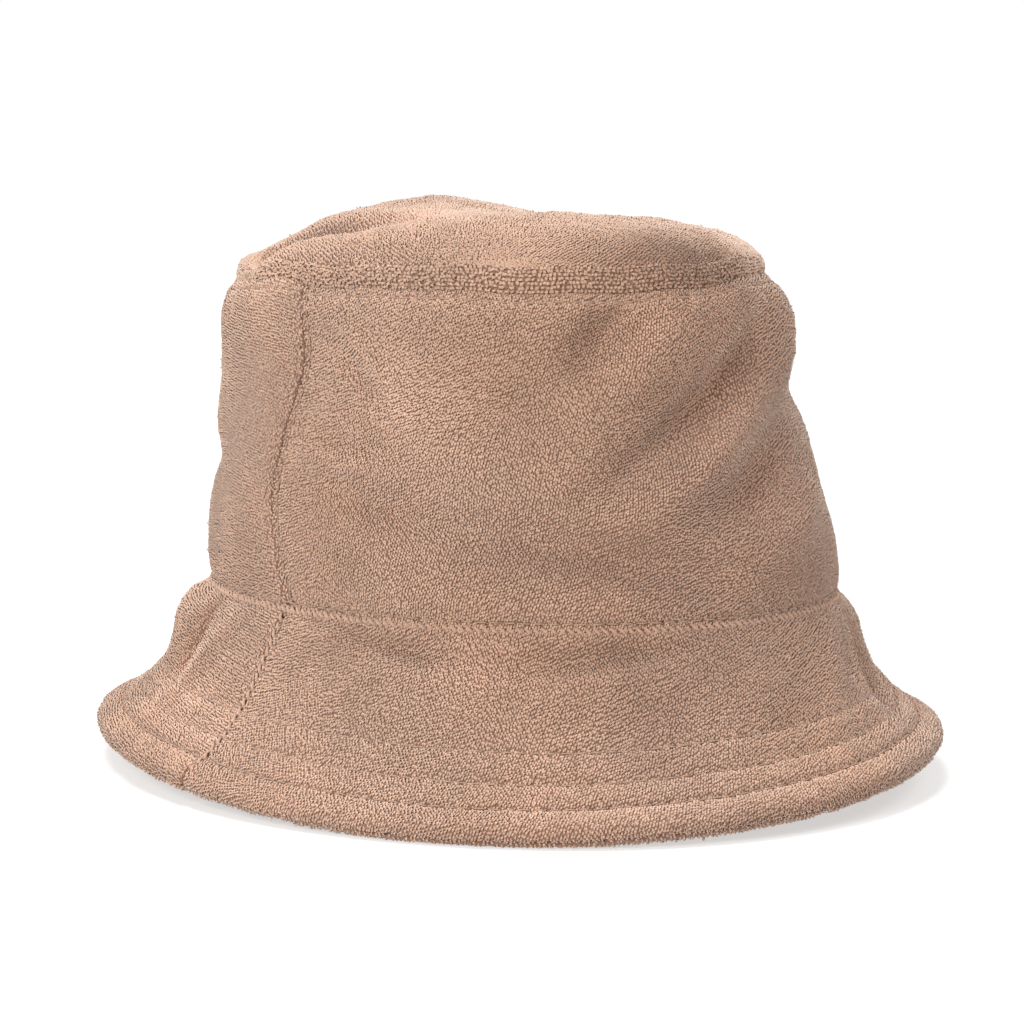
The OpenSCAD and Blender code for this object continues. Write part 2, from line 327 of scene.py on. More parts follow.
def ridge(a, b, half_length, half_width, turn):
    """A long soft bump over flat distances a across and b up, both in mm."""
    c, s = cos_sin(turn)
    return np.exp(-((a * c + b * s) / half_length) ** 2 - ((b * c - a * s) / half_width) ** 2)


def mean_radius(t0):
    c, s = cos_sin(t0)
    return math.hypot(HALF_W * s, HALF_L * c)


def side_folds(t, v):
    """How far the crown's side stands out at (t, v), beyond its smooth shape."""
    total = np.zeros(np.broadcast(t, v).shape)
    for t0, v0, half_length, half_width, turn, depth in SIDE_FOLDS:
        a = np.radians(around(t, t0)) * mean_radius(t0)
        total += depth * ridge(a, (v - v0) * SIDE_H, half_length, half_width, turn)
    spot = on_oval(*side_line(v), t)
    total += 0.5 * noise(spot, 30, 11) + 0.25 * noise(spot, 12, 12)
    return total * smooth(v / 0.10) * smooth((1 - v) / 0.07)


def brim_folds(t, w):
    total = np.zeros(np.broadcast(t, w).shape)
    slope = REACH + BASE_Z
    for t0, w0, half_length, half_width, turn, height in BRIM_FOLDS:
        a = np.radians(around(t, t0)) * (mean_radius(t0) + REACH * w0)
        total += height * ridge(a, (w0 - w) * slope * 0.7, half_length, half_width, turn)
    points = on_oval(*brim_line(w, t), t)
    total += 0.7 * noise(points, 30, 21) + 0.3 * noise(points, 12, 22)
    return total * smooth(w / 0.12) * (1 - 0.7 * smooth((w - 0.66) / 0.34))


def tip_folds(x, y):
    total = np.zeros(np.broadcast(x, y).shape)
    half_w, half_l = HALF_W - TAPER, HALF_L - TAPER
    for x0, y0, half_length, half_width, turn, height in TIP_FOLDS:
        total += height * ridge(x - x0 * half_w, y - y0 * half_l, half_length, half_width, turn)
    s = np.hypot(x / half_w, y / half_l)
    points = np.stack([x, y, 0 * x], -1)
    total += 0.8 * noise(points, 24, 31) + 0.4 * noise(points, 10, 32)
    return total * smooth((1.02 - s) / 0.12)


def nap_and_painted_shade(points):
    """How much darker the pile is painted at points in mm: random tone in its nap, plus the patches of
    painted shade and painted light.
    """
    total = 0.07 * noise(points, 21, 41) + 0.05 * noise(points, 9, 42)
    for place, (across, up), share in PAINTED_SHADE_AND_LIGHT:
        away = np.asarray(points) - np.array(place)
        beside = (np.hypot(away[..., 0], away[..., 1]) / across) ** 2
        total += share * np.exp(-beside - (away[..., 2] / up) ** 2)
    return total


def groove(x, half_width, depth):
    """The dip that a row of stitches pulls into the pile, x mm from the row."""
    return -depth * np.exp(-(x / half_width) ** 2)


def turned_edge(x, radius):
    """How far the cloth dips as it turns into a seam, x mm from the seam."""
    near = np.clip(1 - x / radius, 0, 1)
    return -radius * (1 - np.sqrt(np.maximum(1 - near * near, 0)))


# ---- meshes

# A map of this name, made here from the cloth's own grid, keeps each piece's picture in one sheet.
BAKE_MAP = "OFBake"


def grid_faces(rows, columns, start=0, flip=False):
    i, j = np.meshgrid(np.arange(rows - 1), np.arange(columns - 1), indexing="ij")
    a = start + i * columns + j
    quads = np.stack([a, a + 1, a + columns + 1, a + columns], -1).reshape(-1, 4)
    return quads[:, ::-1] if flip else quads


def border(rows, columns, step=1, start=0):
    """A grid's points once round its edge, every step-th of them."""
    top = [j for j in range(0, columns - 1, step)]
    right = [columns - 1 + i * columns for i in range(0, rows - 1, step)]
    bottom = [(rows - 1) * columns + j for j in range(columns - 1, 0, -step)]
    left = [i * columns for i in range(rows - 1, 0, -step)]
    return start + np.array(top + right + bottom + left)


def bridge(fine, coarse, flip=False):
    """Triangles from one closed row of points to another with every so many of them."""
    step = len(fine) // len(coarse)
    triangles = []
    for k, corner in enumerate(coarse):
        beyond = coarse[(k + 1) % len(coarse)]
        for i in range(step):
            triangles.append((fine[k * step + i], corner, fine[(k * step + i + 1) % len(fine)]))
        triangles.append((fine[(k + 1) * step % len(fine)], corner, beyond))
    triangles = np.array(triangles)
    return triangles[:, ::-1] if flip else triangles


def make_object(name, points, faces, places=None, cloth=None):
    """A smooth mesh object from points in mm. places are map positions per point, cloth is the
    place of each point on the flat cloth, in mm."""
    mesh = bpy.data.meshes.new(name)
    points = np.asarray(points, float) * MM
    sizes = np.concatenate([np.full(len(f), f.shape[1]) for f in faces])
    corners = np.concatenate([f.reshape(-1) for f in faces])
    mesh.vertices.add(len(points))
    mesh.vertices.foreach_set("co", points.reshape(-1))
    mesh.loops.add(len(corners))
    mesh.loops.foreach_set("vertex_index", corners.astype(np.int32))
    mesh.polygons.add(len(sizes))
    mesh.polygons.foreach_set("loop_start", np.concatenate([[0], np.cumsum(sizes)[:-1]]).astype(np.int32))
    mesh.polygons.foreach_set("use_smooth", np.ones(len(sizes), bool))
    if places is not None:
        layer = mesh.uv_layers.new(name=BAKE_MAP)
        layer.data.foreach_set("uv", np.asarray(places, float)[corners].reshape(-1))
    # on loops and stitches cloth holds a tone, a share of painted shade, and patches of painted shade and
    # light
    if cloth is not None:
        attribute = mesh.attributes.new("cloth", "FLOAT_VECTOR", "POINT")
        attribute.data.foreach_set("vector", np.asarray(cloth, float).reshape(-1))
    mesh.update(calc_edges=True)
    mesh.validate()
    piece = bpy.data.objects.new(name, mesh)
    bpy.context.scene.collection.objects.link(piece)
    return piece


FACE_SHARE = 0.78        # share of the map that the fine face has, above the plain back's strip


def closed_sheet(name, face, back, cloth, step, flip=False):
    """A closed piece of cloth: a fine face, and a back that has every step-th row and column."""
    rows, columns = face.shape[:2]
    back_rows, back_columns = back.shape[:2]
    start = rows * columns
    faces = [
        grid_faces(rows, columns, 0, flip),
        grid_faces(back_rows, back_columns, start, not flip),
        bridge(border(rows, columns), border(back_rows, back_columns, 1, start), flip),
    ]
    v, u = np.meshgrid(np.linspace(0, FACE_SHARE, rows), np.linspace(0, 1, columns), indexing="ij")
    bv, bu = np.meshgrid(np.linspace(FACE_SHARE + 0.01, 1, back_rows), np.linspace(0, 1, back_columns),
                         indexing="ij")
    places = np.concatenate([np.stack([u, v], -1).reshape(-1, 2), np.stack([bu, bv], -1).reshape(-1, 2)])
    points = np.concatenate([face.reshape(-1, 3), back.reshape(-1, 3)])
    return make_object(name, points, faces, places,
                       np.concatenate([cloth.reshape(-1, 3), cloth[::step, ::step].reshape(-1, 3)]))


def count_for(length, pitch, step):
    """Points along a length at about a pitch, one more than a multiple of step."""
    return max(int(round(length / pitch / step)), 2) * step + 1


def crowded(n, share=0.3):
    """n numbers from 0 to 1, closer together near both ends."""
    x = np.linspace(0, 1, n)
    return x - share * np.sin(2 * np.pi * x) / (2 * np.pi)


def grid_normals(face):
    du = np.gradient(face, axis=1)
    dv = np.gradient(face, axis=0)
    return unit(np.cross(du, dv))


PITCH = 0.8              # spacing of the points on a towelling face
BACK_STEP = 4


# ---- the crown's side

PIN_HOLE = 0.45
SEAM_LAP = 0.06          # degrees by which neighbouring panels overlap in their seam


def pile(points, seed, depth=1.0):
    """Clumps and single loops of the towelling, in mm out of the cloth."""
    return depth * (0.20 * noise(points, 1.7, seed) + 0.17 * noise(points, 0.8, seed + 1)
                    + 0.10 * noise(points, 4.5, seed + 2))


def stitch_row(across, along, depth):
    """A row of stitches seen in the pile: a groove, deeper where the thread goes through."""
    holes = 0.5 + 0.5 * np.cos(2 * np.pi * along / STITCH)
    return groove(across, 0.95, depth) * (0.7 + 0.3 * holes) + groove(across, PIN_HOLE, depth) * holes ** 6


def seam_puckers(across, along, pitch, slant, reach, height):
    """Small slanting ridges that a seam pulls into the cloth beside it."""
    wave = np.cos(2 * np.pi * (along / pitch + slant * across / pitch))
    return height * wave * hump(across, 0.5 * reach, reach)


def wandering(t, v):
    """The oval angle of the cloth at (t, v): the -X seam has been pushed into an S."""
    swing = 4.6 * hump(v, 0.80, 0.18) - 4.8 * hump(v, 0.32, 0.23)
    swing += 1.8 * hump(v, 0, 0.07)
    return t + swing * bell(t, 180, 26)


def side_point(t, v, stand_out):
    """A point stand_out mm outside the crown's folded outer face."""
    out, up = profile_normal(side_line, v)
    r, z = side_line(v)
    top = np.clip((v - 0.84) / 0.16, 0, 1.2)
    draw = shoulder(t) * top ** 2.2
    rise = side_folds(t, v) + stand_out
    lift = seam_rise(t) * smooth((v - 0.5) / 0.5)
    return on_oval(r + out * rise - draw, z + up * rise + lift + 0.35 * stand_out * top, wandering(t, v))


def half_span(t):
    """Length in mm along the base seam's oval from angle 0 to each angle t."""
    fine = np.radians(np.linspace(0, 360, 1441))
    pace = np.hypot(HALF_W * np.sin(fine), HALF_L * np.cos(fine))
    length = np.concatenate([[0], np.cumsum((pace[1:] + pace[:-1]) / 2 * np.diff(fine))])
    return np.interp(t, np.degrees(fine), length)


def even_angles(start, stop, n, share=0.3):
    """Oval angles from start to stop at even lengths along the oval, closer near both ends."""
    fine = np.linspace(start, stop, 721)
    length = half_span(fine % 360 + 0.0) + np.floor(fine / 360) * half_span(np.array(360.0))
    wanted = length[0] + crowded(n, share) * (length[-1] - length[0])
    return np.interp(wanted, length, fine)


def seam_gap(from_seam):
    """Share of the pile's height left beside a seam, which swallows the loops at its edge."""
    return smooth((from_seam - 0.25) / 1.1)


def pressed(from_seam, row):
    """Share of the pile's height left where a row of stitches holds it down."""
    return 1 - 0.7 * hump(from_seam, row, 0.60)


def to_side(t, start):
    """Length round the base seam from t to the nearer end of the half that begins at start."""
    along = half_span(t - start)
    return np.minimum(along, half_span(180.0) - along)


def crown_panel(name, start):
    """One towelling panel of the crown's side, from the oval angle start half way round."""
    span = float(half_span(180.0))
    columns = count_for(span, PITCH, BACK_STEP)
    rows = count_for(SIDE_H, PITCH, BACK_STEP)
    t, v = np.meshgrid(even_angles(start - SEAM_LAP, start + 180 + SEAM_LAP, columns),
                       crowded(rows) * 1.008 - 0.010)
    along = half_span(t % 360)
    from_side = to_side(t, start)
    from_base = v * SIDE_H
    from_top = SIDE_H - from_base
    upright = from_base + 3.0
    rise = turned_edge(from_side, 1.6) + turned_edge(from_base + 0.9, 1.3) + turned_edge(from_top, 1.2)
    rise += stitch_row(from_side - TOPSTITCH_INSET, upright, 0.62)
    rise += stitch_row(from_base - TOPSTITCH_INSET, along, 0.55)
    rise += stitch_row(from_top - TOPSTITCH_INSET, along, 0.30)
    rise += seam_puckers(from_base, along, 2.3, 0.8, 1.5, 0.34)
    rise += seam_puckers(from_side, upright, 3.1, 0.7, 1.8, 0.35)
    rise += 0.45 * hump(from_side, 1.3, 0.6)
    smooth_face = side_point(t, v, 0 * v)
    rise += pile(smooth_face, 41 + int(start)) - GROUND_IN
    short = seam_gap(from_side) * seam_gap(from_base + 1.0) * seam_gap(from_top + 0.6)
    short *= pressed(from_side, TOPSTITCH_INSET) * pressed(from_base, TOPSTITCH_INSET)
    short *= pressed(from_top, TOPSTITCH_INSET)
    face = side_point(t, v, rise)
    back = side_point(t, v, 0 * v - TOWEL_T)[::BACK_STEP, ::BACK_STEP]
    cloth = np.stack([along, from_base, 0 * v], -1)
    return closed_sheet(name, face, back, cloth, BACK_STEP), face, short


# ---- the brim

ROLL_PUFF = 0.7          # how much the border outside the last row swells
ROW_PUFF = 0.35          # and how much the cloth between two rows does
PUFF_SPREAD = 2.6        # rows' spacing over the half width of that swelling


def brim_point(w, t, side, stand_out):
    """A point on the brim, side 1 for above and -1 for below its middle line."""
    out, up = profile_normal(brim_line, w, t)
    r, z = brim_line(w, t)
    rise = brim_folds(t, w) + side * stand_out
    return on_oval(r + out * rise, z + up * rise, t)


def brim_spans():
    """Distance of each w from the brim's outer edge."""
    w = np.linspace(0, 1, 201)
    r, z = brim_line(w, np.full(201, 90.0))
    step = np.hypot(np.diff(r), np.diff(z))
    return w, BRIM_HALF_T + step.sum() - np.concatenate([[0], np.cumsum(step)])


SPAN_W, SPAN_MM = brim_spans()


def brim_w(from_edge):
    """The share of the brim's width that lies from_edge mm from its outer edge."""
    inside = np.asarray(from_edge, float)
    beyond = np.maximum(inside - SPAN_MM[0], 0) / SPAN_MM[0]
    return np.interp(-inside, -SPAN_MM, SPAN_W) - beyond


def rolled_edge(t, turn, side, radius):
    """Points of the brim's rolled edge: turn 90 faces up or down, and 0 faces out."""
    r, z = brim_line(np.ones_like(t), t)
    out, up = profile_normal(brim_line, np.ones_like(t), t)
    along_r, along_z = up, -out
    c, s = np.cos(np.radians(turn)), np.sin(np.radians(turn)) * side
    rise = brim_folds(t, np.ones_like(t))
    return on_oval(r + out * (rise + radius * s) + along_r * radius * c,
                   z + up * (rise + radius * s) + along_z * radius * c, t)


def brim_half(name, start, side):
    """One towelling half of the brim's upper (side 1) or under (side -1) layer."""
    span = float(half_span(180.0)) * 1.28
    columns = count_for(span, PITCH, BACK_STEP)
    length = float(SPAN_MM[0] - BRIM_HALF_T)
    roll_rows = 2 * BACK_STEP
    rows = count_for(length, PITCH, BACK_STEP)
    from_edge = (length + 1.2) * (1 - crowded(rows, 0.2)) + BRIM_HALF_T
    turns = 90 - 88 * np.linspace(0, 1, roll_rows + 1)[1:]
    angles = even_angles(start - SEAM_LAP, start + 180 + SEAM_LAP, columns)

    t, x = np.meshgrid(angles, from_edge)
    w = brim_w(x)
    along = half_span(t % 360) * BRIM_LONGER
    from_side = to_side(t, start) * (1 + 0.3 * w)
    from_base = SPAN_MM[0] - x
    rise = turned_edge(from_base + 0.9, 1.1) + turned_edge(from_side, 1.6)
    for row in BRIM_ROWS:
        rise += stitch_row(x - row, along, 0.42 if row > 10 else 0.80)
    for low, high in zip((0.0,) + BRIM_ROWS[:-1], BRIM_ROWS):
        puff = ROLL_PUFF if low == 0 else ROW_PUFF
        rise += puff * hump(x, (low + high) / 2, (high - low) / PUFF_SPREAD)
    rise += seam_puckers(from_side, from_base, 2.6, -0.8, 2.0, 0.5) * (1 - smooth((from_base - 24) / 6))
    rise += seam_puckers(from_base, along, 2.3, 0.8, 1.2, 0.16)
    flat_part = brim_point(w, t, side, BRIM_HALF_T)
    rise += pile(flat_part, 61 + side) - GROUND_IN
    short = seam_gap(from_base + 0.9) * seam_gap(from_side)
    for row in BRIM_ROWS:
        short *= pressed(x, row)
    face_flat = brim_point(w, t, side, BRIM_HALF_T + rise)

    tr, turn = np.meshgrid(angles, turns)
    roll = rolled_edge(tr, turn, side, BRIM_HALF_T)
    around_roll = BRIM_HALF_T * (turn / 90)
    swell = ROLL_PUFF * hump(around_roll, BRIM_ROWS[0] / 2, BRIM_ROWS[0] / PUFF_SPREAD)
    side_of_roll = to_side(tr, start)
    tuck = turned_edge(side_of_roll, 1.2) + turned_edge((turn - 2) * 0.05, 0.5)
    stand_out = BRIM_HALF_T + swell + tuck + pile(roll, 61 + side, 1.3) - GROUND_IN
    face_roll = rolled_edge(tr, turn, side, stand_out)
    face = np.concatenate([face_flat, face_roll])
    face[..., 2] = np.maximum(face[..., 2], 2 * PRESSED_AT)

    inner = BRIM_HALF_T - TOWEL_T
    back = np.concatenate([brim_point(w, t, side, inner + 0 * w), rolled_edge(tr, turn, side, inner)])
    along_roll = half_span(tr % 360) * BRIM_LONGER
    cloth = np.concatenate([np.stack([along, from_base, 0 * w], -1),
                            np.stack([along_roll, SPAN_MM[0] - around_roll, 0 * turn], -1)])
    short = np.concatenate([short, seam_gap(side_of_roll)])
    return closed_sheet(name, face, back[::BACK_STEP, ::BACK_STEP], cloth, BACK_STEP, side > 0), face, short


def brim_stiffener(name, start):
    """One felted half between the brim's layers, hidden by them."""
    t, w = np.meshgrid(np.linspace(start + 0.2, start + 179.8, 141), np.linspace(0.04, 0.985, 25))
    face = brim_point(w, t, 1, STIFFENER_T / 2 + 0 * w)
    back = brim_point(w, t, 1, -STIFFENER_T / 2 + 0 * w)
    cloth = np.stack([half_span(t % 360), w * 50, 0 * w], -1)
    return closed_sheet(name, face, back, cloth, 1, True)


# ---- the tip

TIP_TOP_Z = 154.6        # height of the tip's middle
TIP_POWER = 2.5          # the dome's profile is (1 - s ** power) ** TIP_ROUND
TIP_FULLER = 5.5         # how much more the power is where the dome is puffed out
TIP_FULL_AT = 244.0      # oval angle of that
TIP_ROUND = 0.54
RIM_IN = 0.8             # how far inside the rim the dome's grid ends
DENT_ROOM = 2.6          # how far to the side the tip lining keeps clear of the towelling's dents


def tip_height(x, y, drop):
    """Height of the tip's outer face at x and y mm from the tip's middle."""
    half_w, half_l = HALF_W - TAPER, HALF_L - TAPER
    s = np.minimum(np.hypot(x / half_w, y / half_l), 1.0)
    t = np.degrees(np.arctan2(y / half_l, x / half_w))
    rim = SIDE_TOP_Z + LAYER_GAP + TOWEL_T + seam_rise(t)
    power = TIP_POWER + TIP_FULLER * bell(t, TIP_FULL_AT, 58)
    return TIP_TOP_Z - (TIP_TOP_Z - rim) * (1 - (1 - s ** power) ** TIP_ROUND) + tip_folds(x, y) - drop


def lining_height(x, y, drop):
    """Height of the tip lining, which hangs clear of every dent within reach of the point."""
    ways = [cos_sin(turn) for turn in range(0, 360, 45)]
    near = [tip_height(x + DENT_ROOM * c, y + DENT_ROOM * s, drop) for c, s in ways]
    return np.minimum.reduce(near + [tip_height(x, y, drop)])


def disc_grid(n):
    """A square grid bent into a unit disc."""
    a, b = np.meshgrid(np.linspace(-1, 1, n), np.linspace(-1, 1, n))
    return a * np.sqrt(1 - b * b / 2), b * np.sqrt(1 - a * a / 2)


def rim_point(edge, t, share):
    """A point of the tip's rolled rim, from the dome's edge (share 0) down to the seam (share 1)."""
    seam_z = SIDE_TOP_Z + seam_rise(t)
    rim_r = -TAPER - shoulder(t)
    seam = on_oval(rim_r - 1.0, seam_z - 0.9, t)
    tuck = on_oval(rim_r + 0.1, seam_z - 0.2, t)
    top = on_oval(rim_r - 0.2, np.maximum(edge[:, 2] - 1.4, seam_z + 1.6), t)
    a, b, c, d = (1 - share) ** 3, 3 * share * (1 - share) ** 2, 3 * share ** 2 * (1 - share), share ** 3
    return a * edge + b * top + c * tuck + d * seam


def lining_rim(edge, t, share):
    """A point of the tip lining's rim, which drops from the dome's edge to the side lining's top."""
    inside = LINING_IN + LINING_T + 0.3
    seam = on_oval(-TAPER - 0.8 * shoulder(t) - inside, SIDE_TOP_Z + seam_rise(t) - 2.4, t)
    return (1 - share) * edge + share * seam


def tip_cloth(name, inset, drop, thickness, pitch, rim_rows, looped):
    """The domed tip, or its lining. inset is how far its rim lies inside the crown's outer face."""
    height, rim_at = (tip_height, rim_point) if looped else (lining_height, lining_rim)
    half_w, half_l = HALF_W - TAPER - inset, HALF_L - TAPER - inset
    n = count_for(2 * half_w * 0.97, pitch, BACK_STEP)
    dx, dy = disc_grid(n)
    x, y = dx * (half_w - RIM_IN), dy * (half_l - RIM_IN)
    z = height(x, y, drop)
    t = np.degrees(np.arctan2(y / half_l, x / half_w))
    pull = 1 - shoulder(t) / half_w
    flat = leaned(np.stack([x * pull, y * pull, z], -1))
    normals = grid_normals(flat)
    sink = pile(flat, 71) - GROUND_IN if looped else 0 * x
    points = [(flat + normals * sink[..., None]).reshape(-1, 3)]
    cloth = [np.stack([x, y, 0 * x], -1).reshape(-1, 3)]
    faces = [grid_faces(n, n)]
    a, b = np.meshgrid(np.linspace(0.0, 1, n), np.linspace(0.0, 0.7, n))
    places = [np.stack([a, b], -1).reshape(-1, 2)]
    ring = border(n, n)
    edge = points[0][ring]
    t = t.ravel()[ring]
    outward = np.concatenate([oval(t)[1], np.full((len(t), 1), 0.3)], -1)
    rim = [edge]
    count = n * n
    for k in range(1, rim_rows + 1):
        bare = rim_at(edge, t, k / rim_rows)
        texture = pile(bare, 71, 1.3) if looped else 0 * t
        rim.append(bare + outward * (texture * math.sin(math.pi * k / rim_rows))[:, None])
        points.append(rim[-1])
        cloth.append(np.stack([edge[:, 0], edge[:, 1], np.full(len(t), 3.0 * k)], -1))
        row = count + np.arange(len(t))
        faces.append(np.stack([ring, row, np.roll(row, -1), np.roll(ring, -1)], -1))
        places.append(np.stack([np.arange(len(t)) / len(t), np.full(len(t), 0.71 + 0.006 * k)], -1))
        ring, count = row, count + len(t)
    back_n = (n - 1) // BACK_STEP + 1
    back = (flat - normals * thickness)[::BACK_STEP, ::BACK_STEP]
    points.append(back.reshape(-1, 3))
    cloth.append(np.stack([x, y, 0 * x], -1)[::BACK_STEP, ::BACK_STEP].reshape(-1, 3))
    faces.append(grid_faces(back_n, back_n, count, True))
    faces.append(bridge(ring, border(back_n, back_n, 1, count)))
    a, b = np.meshgrid(np.linspace(0, 1, back_n), np.linspace(0.81, 1, back_n))
    places.append(np.stack([a, b], -1).reshape(-1, 2))
    piece = make_object(name, np.concatenate(points), faces, np.concatenate(places), np.concatenate(cloth))
    closed_rim = np.array([np.concatenate([row, row[:1]]) for row in rim])
    return piece, points[0].reshape(n, n, 3), closed_rim


# ---- loops of the pile

def at_places(grid, i, j):
    """A grid's values at part-numbered rows i and columns j."""
    i0 = np.clip(np.floor(i).astype(int), 0, grid.shape[0] - 2)
    j0 = np.clip(np.floor(j).astype(int), 0, grid.shape[1] - 2)
    fi, fj = (i - i0)[:, None], (j - j0)[:, None]
    low = grid[i0, j0] * (1 - fj) + grid[i0, j0 + 1] * fj
    high = grid[i0 + 1, j0] * (1 - fj) + grid[i0 + 1, j0 + 1] * fj
    return low * (1 - fi) + high * fi


def map_cells(count):
    """The corner of each of count square cells on the map, and how many lie in a row."""
    side = math.ceil(math.sqrt(count))
    return np.stack([np.arange(count) % side, np.arange(count) // side], -1) / side, side


def run_lengths(line):
    return np.concatenate([[0], np.cumsum(np.linalg.norm(np.diff(line, axis=0), axis=1))])


LOOP_ALONG = np.array([-0.5, 0.04, 0.5])        # stations of one loop, as shares of its length
LOOP_UP = np.array([-0.30, 1.0, -0.20])         # and of its height
LOOP_PITCH = (0.67, 1.03)                       # between rows of loops, and along a row
UNDER_PITCH = (0.95, 1.30)                      # the same under the brim, where it is coarser


def loops(name, face, seed, short=None, slant=0.0, pitch=LOOP_PITCH, height=0.56, half_width=0.27,
          length=1.14, scatter=0.16, flip=False):
    """The pile's yarn loops over a towelling face: bent bands in rows that run at slant degrees."""
    run_j = np.mean([run_lengths(row) for row in face[::4]], axis=0)
    run_i = np.mean([run_lengths(face[:, k]) for k in range(0, face.shape[1], 12)], axis=0)
    reach = math.hypot(run_j[-1], run_i[-1]) / 2
    a, b = np.meshgrid(np.arange(-reach, reach, pitch[0]), np.arange(-reach, reach, pitch[1]), indexing="ij")
    b = b + 0.5 * pitch[1] * (np.arange(len(a)) % 2)[:, None]
    draw = np.random.default_rng(seed)
    a = a + draw.uniform(-0.16, 0.16, a.shape) * pitch[0]
    b = b + draw.uniform(-0.3, 0.3, b.shape) * pitch[1]
    c, s = cos_sin(slant)
    x = (run_j[-1] / 2 + b * c - a * s).ravel()
    y = (run_i[-1] / 2 + b * s + a * c).ravel()
    inside = (x > 0) & (x < run_j[-1]) & (y > 0) & (y < run_i[-1])
    i = np.interp(y[inside], run_i, np.arange(len(run_i)))
    j = np.interp(x[inside], run_j, np.arange(len(run_j)))
    left = np.ones(len(i)) if short is None else at_places(short[..., None], i, j)[:, 0]
    kept = left > 0.3
    i, j, left = i[kept], j[kept], left[kept]
    root = at_places(face, i, j)
    up = unit(at_places(grid_normals(face) * (-1 if flip else 1), i, j))
    along = unit(at_places(np.gradient(face, axis=1), i, j))
    across = unit(at_places(np.gradient(face, axis=0), i, j))
    count = len(root)
    lie = math.radians(slant) + 0.45 * noise(root, 22, 91) + 0.3 * noise(root, 6, 92)
    lie = lie + draw.normal(0, scatter, count)
    ahead = unit(along * np.cos(lie)[:, None] + across * np.sin(lie)[:, None])
    aside = unit(np.cross(up, ahead))
    tall = height * left * (0.7 + 0.3 * draw.random(count)) * (1 + 0.9 * (draw.random(count) > 0.995))
    tilt = 0.55 * noise(root, 19, 93) + 0.25 * noise(root, 5, 94) + draw.normal(0, 0.18, count)
    wide = half_width * (0.85 + 0.3 * draw.random(count))
    points = np.empty((count, 3, 2, 3))
    for k in range(3):
        middle = root + ahead * (length * LOOP_ALONG[k]) + up * (tall * LOOP_UP[k])[:, None]
        middle += aside * (tilt * tall * max(LOOP_UP[k], 0))[:, None]
        wider = wide * (1.0 if k == 1 else 0.7)
        points[:, k, 0] = middle - aside * wider[:, None]
        points[:, k, 1] = middle + aside * wider[:, None]
    points[..., 2] = np.maximum(points[..., 2], PRESSED_AT)
    base = (np.arange(count) * 6)[:, None, None]
    faces = (base + np.array([[0, 1, 3, 2], [2, 3, 5, 4]])).reshape(-1, 4)
    cell, side = map_cells(count)
    steps = np.array([[0.2 + 0.3 * k, 0.2 + 0.6 * m] for k in range(3) for m in range(2)]) / side
    places = cell[:, None] + steps[None]
    # painted shade: each loop's roots get a low share, so the valley's dark colour, and its top the crest's
    share = np.broadcast_to(np.repeat([0.25, 1.0, 0.35], 2), (count, 6))
    tone = np.broadcast_to(draw.random(count)[:, None], (count, 6))
    # painted shade and painted light patches, with the nap's random tone, for each loop
    dark = np.broadcast_to(nap_and_painted_shade(root)[:, None], (count, 6))
    cloth = np.stack([tone, share, dark], -1)
    return make_object(name, points.reshape(-1, 3), [faces], places.reshape(-1, 2), cloth.reshape(-1, 3))


# ---- stitches

THREAD_R = 0.24
STITCH_LENGTH = 3.0
THREAD_SIDES = 6
STITCH_AT = np.array([-0.5, -0.40, 0.0, 0.40, 0.5])      # stations of a stitch, as shares of its length
STITCH_LIFT = np.array([-0.75, 0.0, 0.22, 0.0, -0.75])
STITCH_SHARE = np.array([0.0, 0.7, 1.0, 0.7, 0.0])       # how much light reaches them, dark in the holes


